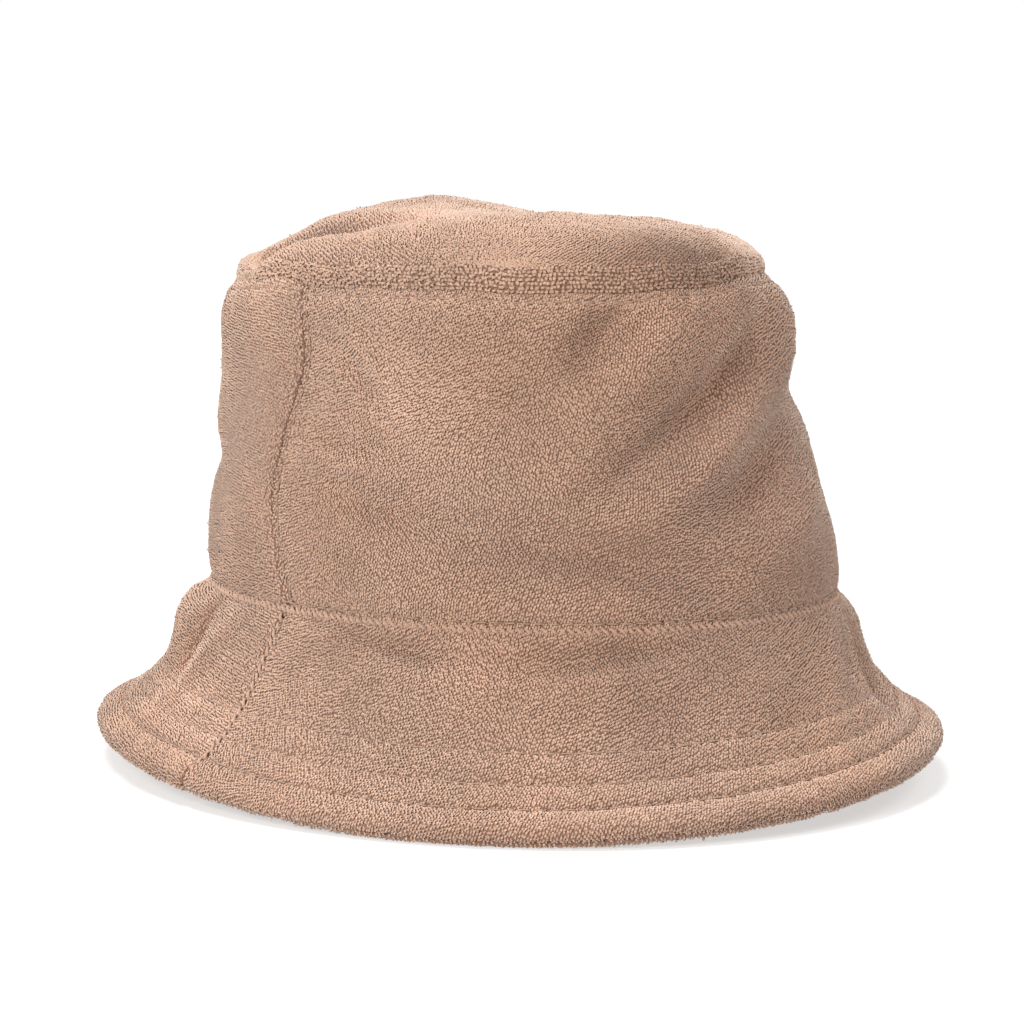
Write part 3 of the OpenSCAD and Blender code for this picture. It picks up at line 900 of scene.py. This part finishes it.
def stitches(name, runs, seed, depth=0.0, radius=THREAD_R, pitch=STITCH, length=STITCH_LENGTH, slant=0.0,
             uneven=0.05, share=0.75):
    """Sewing stitches along runs. Each run is (at, start, stop), where at(x, lift) gives points."""
    draw = np.random.default_rng(seed)
    points, faces, count = [], [], 0
    turns = np.radians(np.arange(THREAD_SIDES) * 360 / THREAD_SIDES)
    ahead_share, aside_share = cos_sin(slant)
    for at, start, stop in runs:
        fine = np.linspace(start, stop, 1441)
        travel = run_lengths(at(fine, 0 * fine))
        number = max(int(travel[-1] / pitch), 1)
        centre = (np.arange(number) + 0.5) / number * travel[-1]
        stations = centre[:, None] + STITCH_AT * length * ahead_share
        x = np.interp(stations, travel, fine)
        lift = STITCH_LIFT * radius / THREAD_R - depth + draw.normal(0, uneven, (number, 1))
        line = at(x, np.broadcast_to(lift, x.shape))
        up = unit(at(x, lift + 1.0) - line)
        aside = unit(np.cross(np.gradient(line, axis=1), up))
        line = line + aside * (STITCH_AT * length * aside_share)[:, None]
        ahead = unit(np.gradient(line, axis=1))
        aside = unit(np.cross(ahead, up))
        up = np.cross(aside, ahead)
        ring = up[:, :, None] * np.cos(turns)[:, None] + aside[:, :, None] * np.sin(turns)[:, None]
        tube = line[:, :, None] + radius * ring
        k, m = np.meshgrid(np.arange(4), np.arange(THREAD_SIDES), indexing="ij")
        beyond = (m + 1) % THREAD_SIDES
        quads = np.stack([k * THREAD_SIDES + m, k * THREAD_SIDES + beyond,
                          (k + 1) * THREAD_SIDES + beyond, (k + 1) * THREAD_SIDES + m], -1).reshape(-1, 4)
        starts = count + np.arange(number) * 5 * THREAD_SIDES
        faces.append((starts[:, None, None] + quads[None]).reshape(-1, 4))
        points.append(tube.reshape(-1, 3))
        count += number * 5 * THREAD_SIDES
    cells = count // (5 * THREAD_SIDES)
    corner, side = map_cells(cells)
    k, m = np.meshgrid(np.arange(5), np.arange(THREAD_SIDES), indexing="ij")
    steps = np.stack([0.15 + 0.17 * k, 0.1 + 0.15 * m], -1).reshape(-1, 2) / side
    places = (corner[:, None] + steps[None]).reshape(-1, 2)
    # painted light: each ring's share of the lit colour, which falls to painted shade at the stitch's ends,
    # in the holes
    ring_painted_light = np.tile(np.repeat(share * STITCH_SHARE, THREAD_SIDES), cells)
    cloth = np.stack([np.full(count, 0.5), ring_painted_light, np.zeros(count)], -1)
    return make_object(name, np.concatenate(points), faces, places, cloth)


def side_run(from_base):
    """Round the crown's side, from_base mm above the base seam."""
    v = from_base / SIDE_H
    return (lambda t, lift: side_point(t, np.full(np.shape(t), v), lift)), 0.0, 360.0


def upright_run(t_seam, offset):
    """Up the crown's side, offset mm beside the side seam at t_seam."""
    t = t_seam + math.degrees(offset / HALF_W) * HALF_W / mean_radius(t_seam)
    return (lambda v, lift: side_point(np.full(np.shape(v), t), v, lift)), 0.03, 0.975


def brim_run(from_edge, side):
    """Round the brim, from_edge mm from its outer edge."""
    w = float(brim_w(from_edge))
    return (lambda t, lift: brim_point(np.full(np.shape(t), w), t, side, BRIM_HALF_T + lift)), 0.0, 360.0


def seam_rope(name, runs, seed, slant, pitch):
    """The small slanting rucks that a tight seam pulls into the towelling along it, darker at their ends as
    painted shade.
    """
    return stitches(name, runs, seed, 0.28, 0.45, pitch, pitch * 1.3, slant, 0.12, 0.70)


def brim_across_run(t_seam, offset):
    """Down the brim beside its side seam, offset mm from it."""
    def at(w, lift):
        t = t_seam + np.degrees(offset / (mean_radius(t_seam) + REACH * w))
        return brim_point(w, t, 1, BRIM_HALF_T + lift)
    return at, 0.03, 0.97


# ---- lining, sweatband and label

def inside_point(t, v, depth):
    """A point depth mm inside the crown's outer face."""
    return side_point(t, v, -depth + 0 * v)


def flat_behind_label(t):
    """Share of the rucks left at angle t: the cloth lies flat where the label hangs on it."""
    return 1 - 0.85 * bell(t, BAND_JOIN_AT, 13)


def lining_panel(name, start):
    columns, rows = count_for(280, 2.6, 1), count_for(SIDE_H, 2.6, 1)
    t, v = np.meshgrid(np.linspace(start + 0.1, start + 179.9, columns), np.linspace(0.02, 0.985, rows))
    spot = inside_point(t, v, LINING_IN)
    loose = smooth((v - 0.26) / 0.14) * smooth((1 - v) / 0.1)
    from_side = np.minimum(t - start, start + 180 - t) * 1.45
    ruck = loose * (0.75 + 0.5 * noise(spot, 13, 51) + 0.25 * noise(spot * np.array([1, 1, 0.35]), 5, 52))
    ruck += 0.5 * hump(from_side, 0, 1.6) * loose
    ruck *= flat_behind_label(t)
    face = inside_point(t, v, LINING_IN + LINING_T + ruck)
    back = inside_point(t, v, LINING_IN + ruck)
    cloth = np.stack([half_span(t % 360), v * SIDE_H, 0 * v], -1)
    return closed_sheet(name, face, back, cloth, 1, True)


BAND_HEM = 2.6           # height of the sweatband's turned upper hem
BAND_JOIN_AT = 90.0      # oval angle of the join in the sweatband, behind the label
LABEL_LEAF_T = 0.22


def sweatband(name):
    """A tape sewn in at the base seam, its turned upper hem free, joined at the back."""
    columns, rows = count_for(540, 1.6, 1), count_for(BAND_H, 1.0, 1)
    join = BAND_JOIN_AT + 0.25
    t, z = np.meshgrid(np.linspace(join, join + 359.5, columns), np.linspace(0, BAND_H, rows))
    v = z / SIDE_H + 0.002
    spot = inside_point(t, v, BAND_IN)
    free = smooth((z - 6) / (BAND_H - 6))
    sway = free * (0.9 + 0.5 * noise(spot * np.array([1, 1, 0.2]), 17, 55)) * flat_behind_label(t)
    hem = smooth((z - (BAND_H - BAND_HEM - 0.6)) / 0.8)
    sewn = -0.25 * hump(z, BAND_H - BAND_HEM, 0.5)
    rounding = 0.35 * hump(z, BAND_H, 0.5)
    face = inside_point(t, v, BAND_IN + BAND_T + sway + 0.35 * hem + sewn - rounding)
    back = inside_point(t, v, BAND_IN + 0.02 + sway - 0.05 * hem + rounding * 0.6)
    cloth = np.stack([half_span(t % 360), z, 0 * z], -1)
    return closed_sheet(name, face, back, cloth, 1, True)


def band_run(height, depth):
    v = height / SIDE_H + 0.002
    def at(t, lift):
        return inside_point(t % 360, np.full(np.shape(t), v), BAND_IN + BAND_T + depth + lift)
    return at, BAND_JOIN_AT + 0.5, BAND_JOIN_AT + 359.5


def care_label(name):
    """A folded blank tape, sewn in at its top: its fold is at the bottom."""
    low, high = np.array(label_low) / MM, np.array(label_high) / MM
    radius = (high[1] - low[1]) / 2 - LABEL_LEAF_T / 2
    fold = np.radians(np.linspace(0, 180, 13))
    leaf = np.linspace(high[2], low[2] + LABEL_LEAF_T / 2 + radius, 40)
    y = np.concatenate([np.full(39, radius), radius * np.cos(fold), np.full(39, -radius)])
    z = np.concatenate([leaf[:-1], leaf[-1] - radius * np.sin(fold), leaf[-2::-1]])
    ahead = unit(np.stack([np.gradient(y), np.gradient(z)], -1))
    out_y, out_z = -ahead[:, 1] * LABEL_LEAF_T / 2, ahead[:, 0] * LABEL_LEAF_T / 2
    x = np.linspace(low[0], high[0], 25)
    xx, yy = np.meshgrid(x, y + (low[1] + high[1]) / 2)
    zz = np.repeat(z[:, None], 25, axis=1)
    face = np.stack([xx, yy + out_y[:, None], zz + out_z[:, None]], -1)
    back = np.stack([xx, yy - out_y[:, None], zz - out_z[:, None]], -1)
    cloth = np.stack([xx, zz, 0 * xx], -1)
    return closed_sheet(name, face, back, cloth, 1)


# ---- materials

CREST = (0.555, 0.366, 0.270)         # towelling at the tops of its loops
VALLEY_SHADE = (0.25, 0.135, 0.095)        # painted shade down between them: the towelling's colour darkened for the shadow there
THREAD = (0.46, 0.30, 0.215)
COTTON = (0.60, 0.44, 0.345)
TWILL = (0.50, 0.345, 0.26)
SATIN = (0.80, 0.77, 0.71)
FELT = (0.72, 0.70, 0.66)


class Paint:
    """A procedural material: nodes are added and wired by name into its one shader."""

    def __init__(self, name, roughness, sheen=0.0, sheen_tint=(1, 1, 1)):
        self.material = bpy.data.materials.new(name)
        self.material.use_nodes = True
        self.tree = self.material.node_tree
        self.shader = self.tree.nodes["Principled BSDF"]
        self.shader.inputs["Roughness"].default_value = roughness
        self.shader.inputs["Specular IOR Level"].default_value = 0.25
        self.shader.inputs["Sheen Weight"].default_value = sheen
        self.shader.inputs["Sheen Roughness"].default_value = 0.35
        self.shader.inputs["Sheen Tint"].default_value = (*sheen_tint, 1)
        self.cloth = self.add("Attribute", attribute_name="cloth").outputs["Vector"]
        self.place = self.add("TexCoord").outputs["Object"]

    def add(self, kind, inputs=(), **settings):
        node = self.tree.nodes.new("ShaderNode" + kind)
        for key, value in settings.items():
            setattr(node, key, value)
        for key, value in dict(inputs).items():
            if isinstance(value, bpy.types.NodeSocket):
                self.tree.links.new(value, node.inputs[key])
            else:
                node.inputs[key].default_value = value
        return node

    def noise(self, scale, detail=2.0, roughness=0.5, vector=None):
        return self.add("TexNoise", {"Vector": vector or self.place, "Scale": scale,
                                               "Detail": detail, "Roughness": roughness}).outputs["Fac"]

    def voronoi(self, scale, vector=None):
        return self.add("TexVoronoi", {"Vector": vector or self.place,
                                                 "Scale": scale}).outputs["Distance"]

    def wave(self, scale, direction, vector=None, distortion=0.6):
        inputs = {"Vector": vector or self.cloth, "Scale": scale, "Distortion": distortion}
        return self.add("TexWave", inputs, bands_direction=direction).outputs["Fac"]

    def math(self, operation, a, b=0.0):
        return self.add("Math", {0: a, 1: b}, operation=operation).outputs[0]

    def spread(self, value, low, high, out_low=0.0, out_high=1.0):
        return self.add("MapRange", {"Value": value, "From Min": low, "From Max": high,
                                               "To Min": out_low, "To Max": out_high}).outputs["Result"]

    def mix(self, factor, a, b, blend="MIX"):
        node = self.add("Mix", data_type="RGBA", blend_type=blend)
        for index, value in ((0, factor), (6, a), (7, b)):
            if isinstance(value, bpy.types.NodeSocket):
                self.tree.links.new(value, node.inputs[index])
            else:
                node.inputs[index].default_value = value if index == 0 else (*value, 1)
        return node.outputs[2]

    def shaded(self, mask, low, high, colour, dark):
        """A colour where the mask is high, and a dark share of it where it is low."""
        return self.mix(self.spread(mask, low, high), tuple(dark * c for c in colour), colour)

    def toned(self, colour, tone):
        """A colour times a grey tone."""
        grey = self.add("CombineColor", {"Red": tone, "Green": tone, "Blue": tone}).outputs[0]
        return self.mix(1.0, colour, grey, "MULTIPLY")

    def colour(self, socket):
        self.tree.links.new(socket, self.shader.inputs["Base Color"])

    def rough(self, socket):
        self.tree.links.new(socket, self.shader.inputs["Roughness"])

    def bump(self, height, distance, strength=1.0):
        node = self.add("Bump", {"Height": height, "Distance": distance, "Strength": strength})
        self.tree.links.new(node.outputs[0], self.shader.inputs["Normal"])

    def wear(self, colour, amount=0.07):
        """Cloudy light and dark patches, as pile brushed different ways has."""
        cloud = self.spread(self.noise(38, 3.0), 0.3, 0.7, 1 - amount, 1 + amount)
        warm = self.spread(self.noise(16, 2.0), 0.35, 0.65)
        tinted = self.mix(warm, colour, self.mix(1.0, colour, (1.04, 0.985, 0.94), "MULTIPLY"))
        return self.toned(tinted, cloud)


def towelling_ground():
    """The woven ground and the roots of the loops, coloured darker than the loops as painted shade beneath
    them, and darker still as painted shade in the low parts of its clumps.
    """
    paint = Paint("towelling_ground", 0.95, 0.8, (1.0, 0.90, 0.80))
    clumps = paint.spread(paint.voronoi(1400), 0.1, 0.62, 1.0, 0.0)
    grain = paint.noise(2100, 2.0, 0.6)
    height = paint.math("ADD", clumps, paint.math("MULTIPLY", grain, 0.5))
    # painted shade: the ground's lightest colour stays well below the crests', and its low parts take the
    # valley's dark colour
    middle = tuple(0.6 * v + 0.4 * c for v, c in zip(VALLEY_SHADE, CREST))
    paint.colour(paint.wear(paint.mix(paint.spread(height, 0.35, 1.1), VALLEY_SHADE, middle)))
    paint.rough(paint.spread(grain, 0.3, 0.7, 0.88, 1.0))
    paint.bump(height, 0.0006, 0.8)
    return paint.material


def towelling_loops():
    """The loops of the pile: darker at their roots as painted shade, each with its own tone and patches of
    painted shade and light, the yarn twisted.
    """
    paint = Paint("towelling_loops", 0.92, 0.9, (1.0, 0.90, 0.80))
    parts = paint.add("SeparateXYZ", {"Vector": paint.cloth})
    share = paint.spread(parts.outputs["Y"], 0.0, 0.9)
    tone = paint.spread(parts.outputs["X"], 0.0, 1.0, 0.86, 1.12)
    # painted shade: the valley's dark colour at the loops' roots, the crest's at their tops
    base = paint.wear(paint.mix(share, VALLEY_SHADE, CREST))
    # the cloth's third value darkens each loop as painted shade, or lightens it as painted light where it is
    # below 0
    tone = paint.math("MULTIPLY", tone, paint.math("SUBTRACT", 1.0, parts.outputs["Z"]))
    paint.colour(paint.toned(base, tone))
    yarn = paint.noise(4200, 2.0, 0.6)
    paint.rough(paint.spread(yarn, 0.3, 0.7, 0.84, 1.0))
    paint.bump(yarn, 0.00012, 0.7)
    return paint.material


def sewing_thread():
    """Spun thread in the cloth's colour, its plies showing as fine slanting marks, with painted shade where
    it goes down into its holes.
    """
    paint = Paint("sewing_thread", 0.72, 0.25, (1.0, 0.92, 0.86))
    ply = paint.wave(1500, "DIAGONAL", paint.place, 1.5)
    lint = paint.noise(3000, 2.0)
    yarn = paint.shaded(ply, 0.1, 0.8, THREAD, 0.62)
    # painted shade: the thread's ends, where it goes into the cloth, turn to a dark colour
    depth = paint.add("SeparateXYZ", {"Vector": paint.cloth}).outputs["Y"]
    painted_hole_shade = tuple(0.30 * c for c in VALLEY_SHADE)
    paint.colour(paint.mix(paint.spread(depth, 0.0, 0.5), painted_hole_shade, yarn))
    paint.rough(paint.spread(lint, 0.3, 0.7, 0.6, 0.85))
    paint.bump(paint.math("ADD", ply, lint), 0.00008, 0.6)
    return paint.material


def cotton_lining():
    """Plain woven cotton: threads over and under each other, slubs and faint creases."""
    paint = Paint("cotton_lining", 0.85, 0.2)
    weave = paint.math("MULTIPLY", paint.wave(0.72, "X"), paint.wave(0.72, "Y"))
    slub = paint.noise(0.35, 3.0, 0.6, paint.cloth)
    paint.colour(paint.wear(paint.shaded(paint.math("ADD", weave, slub), 0.3, 1.2, COTTON, 0.72), 0.08))
    paint.rough(paint.spread(slub, 0.3, 0.7, 0.78, 0.92))
    paint.bump(paint.math("ADD", weave, paint.math("MULTIPLY", slub, 0.6)), 0.0001, 0.6)
    return paint.material


def twill_tape():
    """Twill tape: slanting ribs, with a plainer selvedge look from slubs along the threads."""
    paint = Paint("twill_tape", 0.8, 0.2)
    ribs = paint.wave(0.55, "DIAGONAL", None, 0.3)
    slub = paint.noise(0.5, 3.0, 0.6, paint.cloth)
    paint.colour(paint.wear(paint.shaded(ribs, 0.15, 0.8, TWILL, 0.68), 0.08))
    paint.rough(paint.spread(slub, 0.3, 0.7, 0.7, 0.9))
    paint.bump(paint.math("ADD", ribs, paint.math("MULTIPLY", slub, 0.4)), 0.00014, 0.7)
    return paint.material


def satin_tape():
    """Blank satin label tape with long float threads along it."""
    paint = Paint("satin_tape", 0.42, 0.15)
    floats = paint.wave(1.3, "X", None, 0.2)
    slub = paint.noise(0.6, 2.0, 0.5, paint.cloth)
    paint.colour(paint.shaded(paint.math("ADD", floats, slub), 0.3, 1.4, SATIN, 0.86))
    paint.rough(paint.spread(slub, 0.3, 0.7, 0.34, 0.5))
    paint.bump(floats, 0.00004, 0.6)
    return paint.material


def felt_stiffener():
    """Pressed fibre interlining, hidden between the brim's two layers."""
    paint = Paint("felt_stiffener", 0.95, 0.1)
    fibres = paint.noise(700, 4.0, 0.7)
    paint.colour(paint.shaded(fibres, 0.35, 0.65, FELT, 0.75))
    paint.bump(fibres, 0.0001, 0.5)
    return paint.material


# ---- the pieces

GROUND, LOOPS, SEWING = towelling_ground(), towelling_loops(), sewing_thread()
LINING, TAPE, LABEL, FELTED = cotton_lining(), twill_tape(), satin_tape(), felt_stiffener()


def finish_piece(piece, material, body="hat", nodes=()):
    """Gives a piece its material and body, and hides the CAD nodes that it stands for."""
    piece.data.materials.append(material)
    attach(piece, body)
    if nodes:
        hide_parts(*nodes)
    return piece


def half_round(r):
    """Length of half the oval that stands out by r from the base seam."""
    point, out = oval(np.linspace(0.0, 180.0, 181))
    return float(np.linalg.norm(np.diff(point + out * r, axis=0), axis=1).sum())


def ring_cut(short, long, slope):
    """Half a side or brim laid flat, from its two long edges and the slope between them.

    Gives the width and length in metres of the rectangle that it is cut from, and its own area."""
    turn = (long - short) / slope
    outer = long / turn
    across = 2 * outer * math.sin(turn / 2)
    deep = outer - (outer - slope) * math.cos(turn / 2)
    return across * MM, deep * MM, (short + long) / 2 * slope * MM ** 2


def dome_cut(inset, rise):
    """The oval laid flat that covers the tip, as ring_cut gives it."""
    across, long = (2 * half * (1 + 2 / 3 * (rise / half) ** 2) for half in (HALF_W - inset, HALF_L - inset))
    return across * MM, long * MM, math.pi / 4 * across * long * MM ** 2


def strip_cut(width, length):
    return width * MM, length * MM, width * length * MM ** 2


# The flat cuts come from the hat's smooth shape alone, with the seam allowances left out
SIDE_SLOPE = math.hypot(SIDE_H, TAPER)
BRIM_SLOPE = math.hypot(REACH, BASE_Z - BRIM_HALF_T)
TIP_RISE = (tip_high[2] - tip_low[2]) / MM
CUTS = {
    "crown": ring_cut(half_round(-TAPER), half_round(0), SIDE_SLOPE),
    "tip": dome_cut(TAPER, TIP_RISE),
    "brim": ring_cut(half_round(0), half_round(REACH), BRIM_SLOPE),
    "stiffener": ring_cut(half_round(0), half_round(REACH * STIFFENER_END), BRIM_SLOPE * STIFFENER_END),
    "lining": ring_cut(half_round(-TAPER - LINING_IN), half_round(-LINING_IN), SIDE_SLOPE),
    "lining_tip": dome_cut(TAPER + LINING_IN, TIP_RISE - LINING_IN),
    "band": strip_cut(2 * half_round(-BAND_IN), BAND_H),
    "label": strip_cut((label_high[0] - label_low[0]) / MM, 2 * (label_high[2] - label_low[2]) / MM),
}


HALVES = (("front", 180.0, 72.0), ("back", 0.0, -58.0))     # name, oval angle, slant of its loops

for half, start, slant in HALVES:
    panel, face, short = crown_panel(f"{half}_crown_towelling", start)
    piled = loops(f"{half}_crown_loops", face, 201 + int(start), short, slant)
    finish_piece(panel, GROUND, nodes=[f"{half}_crown_panel"])
    finish_piece(piled, LOOPS)
    for layer, side in (("upper", 1), ("under", -1)):
        panel, face, short = brim_half(f"{half}_{layer}_brim_towelling", start, side)
        pitch = LOOP_PITCH if side > 0 else UNDER_PITCH
        piled = loops(f"{half}_{layer}_brim_loops", face, 301 + int(start) + side, short, -slant,
                      flip=side > 0, pitch=pitch)
        finish_piece(panel, GROUND, nodes=[f"{half}_{layer}_brim"])
        finish_piece(piled, LOOPS)
    felt = finish_piece(brim_stiffener(f"{half}_stiffener_felt", start), FELTED,
                        nodes=[f"{half}_brim_stiffener"])
    lining = finish_piece(lining_panel(f"{half}_lining_cotton", start), LINING,
                          nodes=[f"{half}_lining_panel"])

tip, face, rim = tip_cloth("tip_towelling", 0.0, 0.0, TOWEL_T, PITCH, 8, True)
finish_piece(tip, GROUND, nodes=["crown_tip"])
dome_loops = finish_piece(loops("tip_loops", face, 401, slant=20.0), LOOPS)
rim_loops = loops("tip_rim_loops", rim, 402, pitch=(0.80, 1.05), height=0.75, half_width=0.36,
                  length=1.35, scatter=1.3, flip=True)
finish_piece(rim_loops, LOOPS)
lining, face, rim = tip_cloth("tip_lining_cotton", LINING_IN + 0.4, 3.2, LINING_T, 2.0, 4, False)
finish_piece(lining, LINING, nodes=["lining_tip"])

band = finish_piece(sweatband("sweatband_tape"), TAPE, nodes=["sweatband"])
label = finish_piece(care_label("blank_care_label"), LABEL, "label", nodes=["care_label"])

SINK = 0.40              # how deep the stitches lie in the towelling
BRIM_SEAM_INSET = 1.4    # distance of the stitches from the brim's seam
brim_upper_rows = [brim_run(row, 1) for row in BRIM_ROWS]
brim_under_rows = [brim_run(row, -1) for row in BRIM_ROWS]
side_rows = [upright_run(seam, way * TOPSTITCH_INSET) for seam in SEAMS for way in (-1, 1)]
brim_seams = [brim_across_run(seam, way * BRIM_SEAM_INSET) for seam in SEAMS for way in (-1, 1)]
sewn_rows = (
    ("brim_top_stitches", brim_upper_rows, "brim_topstitching", SINK),
    ("brim_under_stitches", brim_under_rows, "brim_understitching", SINK),
    ("base_seam_stitches", [side_run(TOPSTITCH_INSET)], "base_topstitching", SINK),
    ("tip_seam_stitches", [side_run(SIDE_H - TOPSTITCH_INSET)], "tip_topstitching", SINK),
    ("side_seam_stitches", side_rows, "side_seam_topstitching", SINK),
    ("brim_seam_stitches", brim_seams, "brim_seam_stitching", SINK),
    ("band_stitches", [band_run(2.0, 0.0)], "sweatband_stitching", -0.1),
)
for seed, (name, runs, node, depth) in enumerate(sewn_rows):
    finish_piece(stitches(name, runs, 501 + seed, depth), SEWING, nodes=[node])

finish_piece(seam_rope("base_seam_rucks", [side_run(0.45)], 521, 38, 2.2), LOOPS)
rucks = [(brim_across_run(seam, 0.0)[0], 0.02, 0.99) for seam in SEAMS]
finish_piece(seam_rope("brim_seam_rucks", rucks, 522, -38, 2.5), LOOPS)


# ---- floor, light and camera

def floor():
    points = 6000 * np.array([(-1, -1, 0), (1, -1, 0), (1, 1, 0), (-1, 1, 0)])
    piece = make_object("studio_floor", points, [np.array([[0, 1, 2, 3]])])
    paint = Paint("studio_floor", 0.8)
    speck = paint.noise(3, 2.0)
    paint.colour(paint.mix(speck, (0.40, 0.40, 0.395), (0.42, 0.42, 0.415)))
    paint.shader.inputs["Emission Color"].default_value = (1, 1, 1, 1)
    paint.shader.inputs["Emission Strength"].default_value = 0.55
    piece.data.materials.append(paint.material)


def lamp(name, kind, place, **settings):
    """A lamp at place, aimed at the hat."""
    data = bpy.data.lights.new(name, kind)
    for key, value in settings.items():
        setattr(data, key, value)
    holder = bpy.data.objects.new(name, data)
    holder.location = place
    holder.rotation_mode = "QUATERNION"
    holder.rotation_quaternion = (Vector((0, 0, 0.06)) - Vector(place)).to_track_quat("-Z", "Y")
    bpy.context.scene.collection.objects.link(holder)


VIEW_AZIMUTH = math.radians(-40)
CAMERA_DISTANCE = 0.830
CAMERA_HEIGHT = 0.170
PITCH_DOWN = math.radians(6.92)
AIM_LEFT = 0.002
LENS = 103

toward = Vector((math.sin(VIEW_AZIMUTH), -math.cos(VIEW_AZIMUTH), 0))
right = Vector((math.cos(VIEW_AZIMUTH), math.sin(VIEW_AZIMUTH), 0))
up = Vector((0, 0, 1))

floor()
lamp("key", "SUN", -right * 0.32 - toward * 0.32 + up * 1.9, energy=3.0, angle=0.45)
lamp("fill", "AREA", -right * 1.1 + toward * 1.35 + up * 1.1, size=0.9, energy=27)
lamp("back", "AREA", right * 1.4 - toward * 0.6 + up * 1.5, size=1.0, energy=17)


def pale_world():
    """White at the horizon, behind the hat, and dimmer overhead."""
    world = bpy.data.worlds.new("pale_studio")
    bpy.context.scene.world = world
    world.use_nodes = True
    tree = world.node_tree
    where = tree.nodes.new("ShaderNodeTexCoord").outputs["Generated"]
    parts = tree.nodes.new("ShaderNodeSeparateXYZ")
    tree.links.new(where, parts.inputs[0])
    fade = tree.nodes.new("ShaderNodeMapRange")
    for key, value in (("From Min", 0.1), ("From Max", 0.36), ("To Min", 1.0), ("To Max", 0.42)):
        fade.inputs[key].default_value = value
    tree.links.new(parts.outputs["Z"], fade.inputs["Value"])
    tree.links.new(fade.outputs[0], tree.nodes["Background"].inputs["Strength"])
    tree.nodes["Background"].inputs["Color"].default_value = (1, 1, 1, 1)


pale_world()
bpy.context.scene.view_settings.view_transform = "Standard"

camera_data = bpy.data.cameras.new("camera")
camera_data.lens, camera_data.sensor_width = LENS, 36
camera = bpy.data.objects.new("camera", camera_data)
camera.location = toward * CAMERA_DISTANCE + up * CAMERA_HEIGHT
camera.location -= right * AIM_LEFT
camera.rotation_mode = "QUATERNION"
look = -toward * math.cos(PITCH_DOWN) - up * math.sin(PITCH_DOWN)
camera.rotation_quaternion = look.to_track_quat("-Z", "Y")
bpy.context.scene.collection.objects.link(camera)
bpy.context.scene.camera = camera
